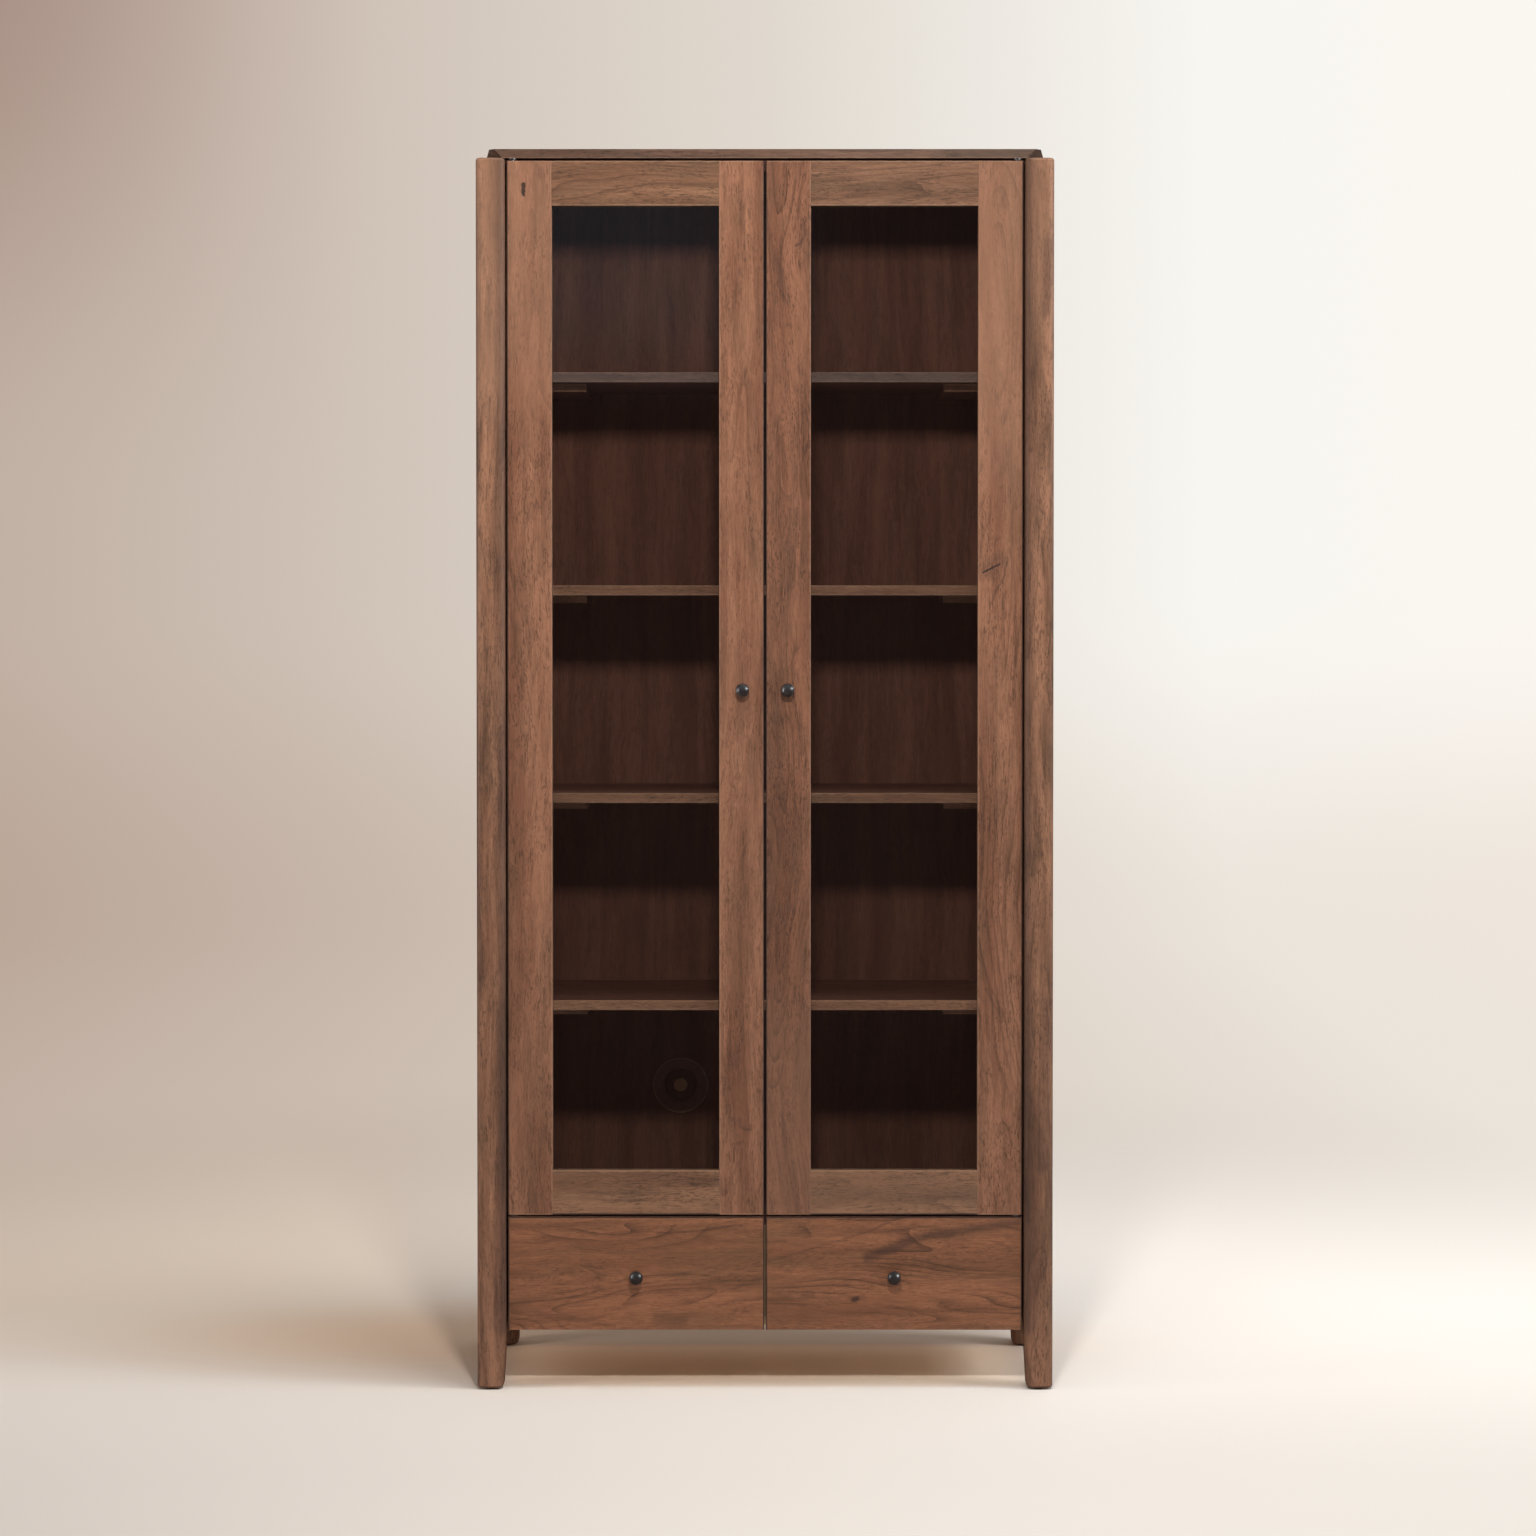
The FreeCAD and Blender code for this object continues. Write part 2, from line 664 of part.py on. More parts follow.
top_body = new_body("top_board_body")
place(top_body, "0", "(" + POST_FRONT + " + " + POST_REAR + ") / 2", "post_height")
base_x = "(case_width / 2 - top_side_inset)"
base_y = "(case_depth / 2 - top_front_inset)"
upper_cut = "(top_corner_cut - top_corner_lean * top_thickness - 2 * top_bevel)"
top_sketches = []
for sketch_name, lift, inset, corner_cut in (("underside", "0", "0", "top_corner_cut"),
                                             ("upper_face", "top_thickness", "top_bevel", upper_cut)):
    half_x = "(" + base_x + " - " + inset + ")"
    half_y = "(" + base_y + " - " + inset + ")"
    short_x = half_x + " - " + corner_cut
    short_y = half_y + " - " + corner_cut
    sketch = new_sketch(top_body, sketch_name, "XY_Plane", lift)
    draw_outline(sketch, ((short_x, half_y), ("-(" + short_x + ")", half_y), ("-" + half_x, short_y),
                          ("-" + half_x, "-(" + short_y + ")"), ("-(" + short_x + ")", "-" + half_y),
                          (short_x, "-" + half_y), (half_x, "-(" + short_y + ")"), (half_x, short_y)))
    top_sketches.append(sketch)
top_loft = top_body.newObject("PartDesign::AdditiveLoft", "bevelled_board")
top_loft.Profile = top_sketches[0]
top_loft.Sections = [top_sketches[1]]
top_loft.Ruled = True

case_top_body = case_board("case_top", CASE_TOP_BOTTOM, "board_thickness")
deck_body = case_board("cabinet_floor", DECK_BOTTOM, "board_thickness")
bay_floor_body = case_board("drawer_bay_floor", "bay_floor_bottom", "bay_floor_thickness")
mortise_y = PIVOT_Y + " - " + BOARD_FRONT
for plate_name, plate_x in (("left_plate_seat", PIVOT_X), ("right_plate_seat", "-" + PIVOT_X)):
    block(case_top_body, "Subtractive", plate_name,
          (plate_x + " + " + PANEL_INNER + " - plate_width / 2", "-overcut",
           "board_thickness - plate_thickness"),
          ("plate_width", mortise_y + " + plate_length + overcut", "plate_thickness + overcut"))

dowels = []
for board_name, dowel_z in (("case_top", CASE_TOP_BOTTOM + " + board_thickness / 2"),
                            ("cabinet_floor", DECK_BOTTOM + " + board_thickness / 2"),
                            ("bay_floor", "bay_floor_bottom + bay_floor_thickness / 2")):
    for place_name, dowel_y in (("front", POST_FRONT + " + post_depth + dowel_inset"),
                                ("rear", POST_REAR + " - post_depth - dowel_inset")):
        dowels.append(cylinder(board_name + "_" + place_name + "_dowel", "dowel_radius", "dowel_length",
                               ("-" + PANEL_INNER + " - dowel_in_panel", dowel_y, dowel_z), (0, 1, 0), 90))
all_dowels = both_sides(dowels)

pins = []
for shelf_top in SHELF_TOPS:
    for place_name, pin_y in (("front", POST_FRONT + " + post_depth + shelf_pin_inset"),
                              ("rear", POST_REAR + " - post_depth - shelf_pin_inset")):
        pins.append(cylinder(shelf_top + "_" + place_name + "_pin", "shelf_pin_radius", "shelf_pin_length",
                             ("-" + PANEL_INNER + " - shelf_pin_in_panel", pin_y,
                              shelf_top + " - shelf_thickness - shelf_pin_radius"), (0, 1, 0), 90))
all_pins = both_sides(pins)

side_tools = group("side_panel_tools", dowels + pins)
keep_pair(cut("left_side_panel_cut", side_panel_body, side_tools), "left_side_panel")
keep(group("case_dowels_group", all_dowels), "case_dowels")
keep(group("shelf_pins_group", all_pins), "shelf_pins")

lower_plate_z = "deck_top"
upper_plate_z = "(post_height - plate_thickness)"
lower_screws = []
upper_screws = []
for screw_name, screw_step in (("front", "hinge_screw_inset"),
                                ("rear", "hinge_screw_inset + hinge_screw_spacing")):
    screw_y = PIVOT_Y + " + " + screw_step
    lower_screws.append(countersunk_screw("lower_hinge_screw_" + screw_name, "hinge_screw_length", PIVOT_X,
                                          screw_y, "deck_top + plate_thickness"))
    upper_screws.append(countersunk_screw("upper_hinge_screw_" + screw_name, "hinge_screw_length", PIVOT_X,
                                          screw_y, "post_height"))
lower_plate = cut("lower_plate", pivot_plate("lower_plate", lower_plate_z, True),
                  group("lower_plate_tools", lower_screws))
upper_plate = cut("upper_plate", pivot_plate("upper_plate", upper_plate_z, False),
                  group("upper_plate_tools", upper_screws))
keep(group("pivot_plates_group", both_sides([lower_plate, upper_plate])), "pivot_plates")
all_lower_screws = both_sides(lower_screws)
all_upper_screws = both_sides(upper_screws)
keep(group("hinge_screws_group", all_lower_screws + all_upper_screws), "hinge_screws")

top_screws = []
for column, screw_x in (("outer", "-" + POST_INNER + " + top_screw_side_inset"),
                         ("middle", "-top_screw_offset")):
    for row_name, screw_y in (("front", BOARD_FRONT + " + top_screw_edge_inset"),
                              ("rear", BACK_FACE + " - top_screw_edge_inset")):
        top_screws.append(countersunk_screw("top_screw_" + column + "_" + row_name, "top_screw_length",
                                            screw_x, screw_y, CASE_TOP_BOTTOM, head_up=False))
all_top_screws = both_sides(top_screws)
keep(group("top_screws_group", all_top_screws), "top_screws")

keep(cut("top_board_cut", top_body, group("top_board_tools", all_top_screws)), "top_board")
keep(cut("case_top_cut", case_top_body,
         group("case_top_tools", all_top_screws + all_upper_screws + all_dowels)), "case_top")
keep(cut("cabinet_floor_cut", deck_body, group("cabinet_floor_tools", all_lower_screws + all_dowels)),
     "cabinet_floor")
keep(cut("drawer_bay_floor_cut", bay_floor_body, group("bay_floor_tools", all_dowels)), "drawer_bay_floor")
keep(box("drawer_divider", ("-divider_thickness / 2", BOARD_FRONT, BAY_FLOOR_TOP),
         ("divider_thickness", BACK_FACE + " - " + BOARD_FRONT, DECK_BOTTOM + " - " + BAY_FLOOR_TOP)),
     "drawer_divider")

back_board = box("back_board", ("-" + POST_INNER + " - back_tongue", BACK_FACE, "panel_bottom"),
                 ("2 * (" + POST_INNER + " + back_tongue)", "back_thickness", panel_height))
port_hole = cylinder("port_hole", "port_bore_radius", "back_thickness",
                     ("-port_offset", BACK_FACE + " + back_thickness", "port_height"), (1, 0, 0), 90)
keep(cut("back_panel_cut", back_board, port_hole), "back_panel")

# ---- the cable port: a flanged ring and a cap with a raised centre ------------------------------

port_body = new_body("cable_port_body")
place(port_body, "-port_offset", BACK_FACE, "port_height")
ring_half = new_sketch(port_body, "ring_profile")
draw_outline(ring_half, (("port_inner_radius", "back_thickness"), ("port_bore_radius", "back_thickness"),
                         ("port_bore_radius", "0"), ("port_flange_radius", "0"),
                         ("port_flange_radius", "-port_flange_rim"),
                         ("port_flange_radius - port_flange_bevel", "-port_flange_thickness"),
                         ("port_inner_radius + port_inner_bevel", "-port_flange_thickness"),
                         ("port_inner_radius", "-port_inner_rim")))
ring_turned = port_body.newObject("PartDesign::Revolution", "turned_ring")
ring_turned.Profile = ring_half
ring_turned.ReferenceAxis = (ring_half, ["V_Axis"])
ring_turned.Angle = 360
keep(port_body, "cable_port_ring")

cap_body = new_body("port_cap_body")
place(cap_body, "-port_offset", BACK_FACE, "port_height")
cap_half = new_sketch(cap_body, "cap_profile")
cap_rear = "(back_thickness - port_cap_setback)"
cap_face = "(back_thickness - port_cap_setback - port_cap_thickness)"
draw_outline(cap_half, (("0", cap_rear), ("port_inner_radius", cap_rear), ("port_inner_radius", cap_face),
                        ("port_boss_radius + port_boss_foot", cap_face),
                        ("port_boss_radius", cap_face + " - port_boss_foot_height"),
                        ("port_boss_radius - port_boss_taper", cap_face + " - port_boss_height"),
                        ("0", cap_face + " - port_boss_height")))
cap_turned = cap_body.newObject("PartDesign::Revolution", "turned_cap")
cap_turned.Profile = cap_half
cap_turned.ReferenceAxis = (cap_half, ["V_Axis"])
cap_turned.Angle = 360
keep(cap_body, "cable_port_cap")

# ---- shelves with their battens ---------------------------------------------------------------

battens = []
for number, shelf_top in enumerate(SHELF_TOPS, start=1):
    keep(shelf("shelf_%d" % number, shelf_top), "shelf_%d" % number)
    battens.append(box("shelf_%d_batten" % number,
                       ("-batten_offset - batten_width", POST_FRONT + " + shelf_setback + batten_setback",
                        shelf_top + " - shelf_thickness - batten_thickness"),
                       ("batten_width", "batten_length", "batten_thickness")))
keep(group("shelf_battens_group", both_sides(battens)), "shelf_battens")

# ---- feet, catches and drawer runners -----------------------------------------------------------

glides = []
for name, glide_y in (("front", POST_FRONT + " + post_depth / 2"), ("rear", POST_REAR + " - post_depth / 2")):
    glides.append(cone(name + "_glide", "glide_radius - glide_taper", "glide_radius", "glide_height",
                       (CASE_LEFT + " + (post_width - foot_taper) / 2", glide_y, "0")))
keep(group("foot_glides_group", both_sides(glides)), "foot_glides")

catch = box("left_catch", ("-catch_offset - catch_width", DOOR_BACK + " + strike_thickness + strike_play",
                           CASE_TOP_BOTTOM + " - catch_height"),
            ("catch_width", "catch_depth", "catch_height"))
keep(group("door_catches_group", both_sides([catch])), "door_catches")

runner_z = "(drawer_box_bottom + runner_offset + runner_play)"
runner_width = "(drawer_play + runner_reach)"
runner_front = "(" + FRONT_BACK + " + runner_setback)"
outer_runner = box("outer_runner", ("-" + POST_INNER, runner_front, runner_z),
                   (runner_width, "runner_length", "runner_height"))
inner_runner = box("inner_runner", ("-divider_thickness / 2 - " + runner_width, runner_front, runner_z),
                   (runner_width, "runner_length", "runner_height"))
keep(group("drawer_runners_group", both_sides([outer_runner, inner_runner])), "drawer_runners")

# ---- the doors ----------------------------------------------------------------------------------

hinge_stile = door_stile("left_hinge_stile", 1, DOOR_LEFT)
bore(hinge_stile, "lower_bush_bore", ("pivot_inset", "pivot_depth", "0"), "bush_radius", "bush_length")
bore(hinge_stile, "upper_bush_bore", ("pivot_inset", "pivot_depth", "door_height - bush_length"),
     "bush_radius", "bush_length")
keep_pair(hinge_stile, "left_hinge_stile")

door_knob_x = "-door_knob_offset"
door_knob_screw = knob_screw("door_knob_screw", "door_thickness", door_knob_x, DOOR_FACE, "door_knob_height")
meeting_stile = door_stile("left_meeting_stile", -1, DOOR_LEFT + " + door_width")
keep_pair(cut("left_meeting_stile_cut", meeting_stile, door_knob_screw), "left_meeting_stile")
keep_pair(door_rail("left_top_rail", -1, DOOR_TOP), "left_top_rail")
keep_pair(door_rail("left_bottom_rail", 1, "door_bottom"), "left_bottom_rail")

pane_left = DOOR_LEFT + " + stile_width - rebate_width + glass_play"
pane_bottom = "door_bottom + rail_height - rebate_width + glass_play"
pane_width = "door_width - 2 * (stile_width - rebate_width + glass_play)"
pane_height = "door_height - 2 * (rail_height - rebate_width + glass_play)"
keep_pair(box("left_glass_pane", (pane_left, DOOR_FACE + " + lip_depth", pane_bottom),
              (pane_width, "glass_thickness", pane_height)), "left_glass")

bead_y = DOOR_FACE + " + lip_depth + glass_thickness"
bead_depth = "door_thickness - lip_depth - glass_thickness"
bead_bottom = "door_bottom + rail_height - rebate_width"
bead_height = "door_height - 2 * (rail_height - rebate_width)"
bead_left = DOOR_LEFT + " + stile_width - rebate_width"
bead_right = DOOR_LEFT + " + door_width - stile_width"
beads = [box("outer_bead", (bead_left, bead_y, bead_bottom), ("rebate_width", bead_depth, bead_height)),
         box("inner_bead", (bead_right, bead_y, bead_bottom), ("rebate_width", bead_depth, bead_height)),
         box("lower_bead", (DOOR_LEFT + " + stile_width", bead_y, bead_bottom),
             ("door_width - 2 * stile_width", bead_depth, "rebate_width")),
         box("upper_bead", (DOOR_LEFT + " + stile_width", bead_y, DOOR_TOP + " - rail_height"),
             ("door_width - 2 * stile_width", bead_depth, "rebate_width"))]
keep_pair(group("left_glass_beads_group", beads), "left_glass_beads")

keep_pair(cut("left_door_knob_cut",
              knob("left_door_knob", door_knob_x, DOOR_FACE, "door_knob_height"), door_knob_screw),
          "left_door_knob")
keep_pair(door_knob_screw, "left_door_knob_screw")

bushes = []
for name, bush_z in (("lower", "door_bottom"), ("upper", DOOR_TOP + " - bush_length")):
    sleeve = cylinder(name + "_bush_sleeve", "bush_radius", "bush_length", (PIVOT_X, PIVOT_Y, bush_z))
    hole = cylinder(name + "_bush_hole", "pivot_pin_radius + pivot_clearance", "bush_length",
                    (PIVOT_X, PIVOT_Y, bush_z))
    bushes.append(cut(name + "_bush", sleeve, hole))
keep_pair(group("left_pivot_bushes_group", bushes), "left_pivot_bushes")
strike_corner = ("-catch_offset - catch_width + strike_margin", DOOR_BACK,
                 CASE_TOP_BOTTOM + " - catch_height + strike_inset")
keep_pair(box("left_strike", strike_corner,
              ("catch_width - 2 * strike_margin", "strike_thickness", "catch_height - 2 * strike_inset")),
          "left_strike_plate")

# ---- the drawers --------------------------------------------------------------------------------

drawer_knob_x = "-drawer_knob_offset"
drawer_screw = knob_screw("drawer_knob_screw", "drawer_front_thickness", drawer_knob_x, DOOR_FACE,
                          "drawer_knob_height")
front_body = new_body("drawer_front_body")
place(front_body, DOOR_LEFT, DOOR_FACE, "drawer_bottom")
block(front_body, "Additive", "blank", ("0", "0", "0"),
      ("door_width", "drawer_front_thickness", "drawer_height"))
dress(front_body, "Fillet", "eased_edges", "edge_easing", is_on_front)
panel_z = "(drawer_box_bottom + drawer_panel_offset)"
block(front_body, "Subtractive", "bottom_groove",
      (BOX_LEFT + " - " + DOOR_LEFT + " + drawer_side_thickness - drawer_groove_depth",
       "drawer_front_thickness - drawer_groove_depth", panel_z + " - drawer_bottom"),
      (BOX_RIGHT + " - " + BOX_LEFT + " - 2 * (drawer_side_thickness - drawer_groove_depth)",
       "drawer_groove_depth + overcut", "drawer_panel_thickness"))
keep_pair(cut("left_drawer_front_cut", front_body, drawer_screw), "left_drawer_front")
keep_pair(cut("left_drawer_knob_cut",
              knob("left_drawer_knob", drawer_knob_x, DOOR_FACE, "drawer_knob_height"), drawer_screw),
          "left_drawer_knob")
keep_pair(drawer_screw, "left_drawer_knob_screw")


def drawer_side(name, direction, outer_x):
    """A drawer side, measured inwards from its outer face, with a runner groove and a panel groove."""
    body = new_body(name + "_body")
    place(body, outer_x, FRONT_BACK, "drawer_box_bottom")
    across = span_along(direction, "0", "drawer_side_thickness")
    block(body, "Additive", "blank", (across[0], "0", "0"), (across[1], "drawer_length", "drawer_box_height"))
    runner = span_along(direction, "-overcut", "runner_reach + runner_play")
    block(body, "Subtractive", "runner_groove", (runner[0], "-overcut", "runner_offset"),
          (runner[1], "drawer_length + 2 * overcut", "runner_height + 2 * runner_play"))
    panel = span_along(direction, "drawer_side_thickness - drawer_groove_depth",
                       "drawer_side_thickness + overcut")
    block(body, "Subtractive", "panel_groove", (panel[0], "-overcut", "drawer_panel_offset"),
          (panel[1], "drawer_length + 2 * overcut", "drawer_panel_thickness"))
    return body


keep_pair(group("left_drawer_sides_group", [drawer_side("outer_drawer_side", 1, BOX_LEFT),
                                            drawer_side("inner_drawer_side", -1, BOX_RIGHT)]),
          "left_drawer_sides")
inside_width = BOX_RIGHT + " - " + BOX_LEFT + " - 2 * drawer_side_thickness"
back_body = new_body("drawer_back_body")
place(back_body, BOX_LEFT + " + drawer_side_thickness", BOX_REAR + " - drawer_side_thickness",
      "drawer_box_bottom")
block(back_body, "Additive", "blank", ("0", "0", "0"),
      (inside_width, "drawer_side_thickness", "drawer_box_height"))
block(back_body, "Subtractive", "panel_groove", ("-overcut", "-overcut", "drawer_panel_offset"),
      (inside_width + " + 2 * overcut", "drawer_groove_depth + overcut", "drawer_panel_thickness"))
keep_pair(back_body, "left_drawer_back")
keep_pair(box("left_drawer_panel", (BOX_LEFT + " + drawer_side_thickness - drawer_groove_depth",
                                    FRONT_BACK + " - drawer_groove_depth", panel_z),
              (inside_width + " + 2 * drawer_groove_depth",
               "drawer_length - drawer_side_thickness + 2 * drawer_groove_depth", "drawer_panel_thickness")),
          "left_drawer_bottom")

# ---- check and write ------------------------------------------------------------------------------

doc.recompute()
failed = [thing.Name for thing in doc.Objects if "Invalid" in thing.State or "Error" in thing.State]
failed += [piece.Label for piece in nodes if piece.Shape.isNull() or not piece.Shape.isValid()]
if failed:
    raise RuntimeError("these objects failed: " + ", ".join(failed))
if len(nodes) != len({piece.Label for piece in nodes}):
    raise RuntimeError("two sub-parts share a label")
os.makedirs("parts", exist_ok=True)
for piece in nodes:
    piece.Shape.exportStep("parts/" + piece.Label + ".step")
    print(piece.Label, len(piece.Shape.Solids), "solids", round(piece.Shape.Volume / 1000, 1), "cm3")
print(len(nodes), "sub-parts")
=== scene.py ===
import math

import bmesh
import bpy
from mathutils import Euler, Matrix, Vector


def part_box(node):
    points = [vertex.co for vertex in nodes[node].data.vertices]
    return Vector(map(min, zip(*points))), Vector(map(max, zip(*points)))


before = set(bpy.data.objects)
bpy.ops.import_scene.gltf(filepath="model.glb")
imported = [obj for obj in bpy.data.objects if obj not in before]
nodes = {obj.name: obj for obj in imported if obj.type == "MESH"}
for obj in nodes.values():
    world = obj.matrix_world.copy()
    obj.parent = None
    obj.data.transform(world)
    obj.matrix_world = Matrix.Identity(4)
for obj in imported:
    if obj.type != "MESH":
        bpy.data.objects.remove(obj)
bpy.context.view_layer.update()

# the turn that lays a board's grain along Z, and the grain's own direction
ALONG = {
    "x": ((0.0, -math.pi / 2, 0.0), (1.0, 0.0, 0.0)),
    "y": ((math.pi / 2, 0.0, 0.0), (0.0, 1.0, 0.0)),
    "z": ((0.0, 0.0, 0.0), (0.0, 0.0, 1.0)),
}


def tone(red, green, blue):
    """A finish colour from its display values, 0 to 255."""
    return tuple(
        c / 12.92 if c <= 0.04045 else ((c + 0.055) / 1.055) ** 2.4
        for c in (red / 255, green / 255, blue / 255)
    ) + (1.0,)


# ---------------------------------------------------------------- node helpers
def put(tree, kind, inputs=None, **settings):
    """Adds a node. An input takes a number or colour, or another node's output."""
    node = tree.nodes.new(kind)
    for name, value in settings.items():
        setattr(node, name, value)
    for name, value in (inputs or {}).items():
        if isinstance(value, bpy.types.NodeSocket):
            tree.links.new(value, node.inputs[name])
        else:
            node.inputs[name].default_value = value
    return node


def sums(tree, operation, *values, clamp=False):
    return put(tree, "ShaderNodeMath", dict(enumerate(values)), operation=operation,
               use_clamp=clamp).outputs[0]


def vectors(tree, operation, *values, output="Vector"):
    return put(tree, "ShaderNodeVectorMath", dict(enumerate(values)),
               operation=operation).outputs[output]


def blend_colour(tree, share, first, second, how="MIX"):
    return put(tree, "ShaderNodeMix", {0: share, 6: first, 7: second}, data_type="RGBA",
               blend_type=how, clamp_factor=True).outputs[2]


def ease(tree, value, low, high, start=0.0, end=1.0):
    """A soft step from start to end as the value goes from low to high."""
    return put(tree, "ShaderNodeMapRange",
               {"Value": value, "From Min": low, "From Max": high, "To Min": start, "To Max": end},
               interpolation_type="SMOOTHSTEP").outputs[0]


def grey(tree, value):
    return put(tree, "ShaderNodeCombineXYZ", {0: value, 1: value, 2: value}).outputs[0]


def speckle(tree, vector, stretch, detail=2.0, roughness=0.5):
    """Noise whose grains are 1/stretch metres long in each direction."""
    scaled = vectors(tree, "MULTIPLY", vector, stretch)
    return put(tree, "ShaderNodeTexNoise",
               {"Vector": scaled, "Scale": 1.0, "Detail": detail, "Roughness": roughness})


def new_group(name, inputs, outputs):
    """A shared effect: its tree, the node its inputs come from and the node its outputs go to."""
    tree = bpy.data.node_groups.new(name, "ShaderNodeTree")
    for label, kind, value in inputs:
        socket = tree.interface.new_socket(name=label, in_out="INPUT", socket_type=kind)
        socket.default_value = value
    for label, kind in outputs:
        tree.interface.new_socket(name=label, in_out="OUTPUT", socket_type=kind)
    return tree, tree.nodes.new("NodeGroupInput"), tree.nodes.new("NodeGroupOutput")


def use_group(tree, group, inputs):
    return put(tree, "ShaderNodeGroup", inputs, node_tree=group)


FLOAT, COLOUR, VECTOR = "NodeSocketFloat", "NodeSocketColor", "NodeSocketVector"


# ---------------------------------------------------------------- shared effects
# how many grains of each effect fit in a metre: twice across the timber, then along it
GRAIN_SWAY = (5.0, 5.0, 1.8)
GRAIN_RIPPLE = (30.0, 30.0, 11.0)
TONE_BANDS = (26.0, 26.0, 1.6)
OIL_BLOTCHES = (30.0, 30.0, 4.5)
DARK_STREAKS = (75.0, 75.0, 3.6)
GROWTH_LEVEL = (9.0, 9.0, 1.1)
GROWTH_PATCHES = (20.0, 20.0, 4.0)
FIBRES = (640.0, 640.0, 34.0)
LONG_PORES = (430.0, 430.0, 50.0)
SHORT_PORES = (640.0, 640.0, 130.0)
PORE_CLOUDS = (34.0, 34.0, 9.0)
RIPPLE_DEPTH = 0.007
LINES_PER_METRE = 70.0
LINES_PER_LEVEL = 26.0
LINE_SHARPNESS = 4.0
# paler wood for worn arrises, which also paints a highlight along them
RUBBED_AND_LIT_WOOD = (0.5, 0.33, 0.23, 1.0)
# near-black for cracks and knots, and for the painted shade along gaps
CRACK_AND_GAP_SHADE = (0.035, 0.022, 0.02, 1.0)


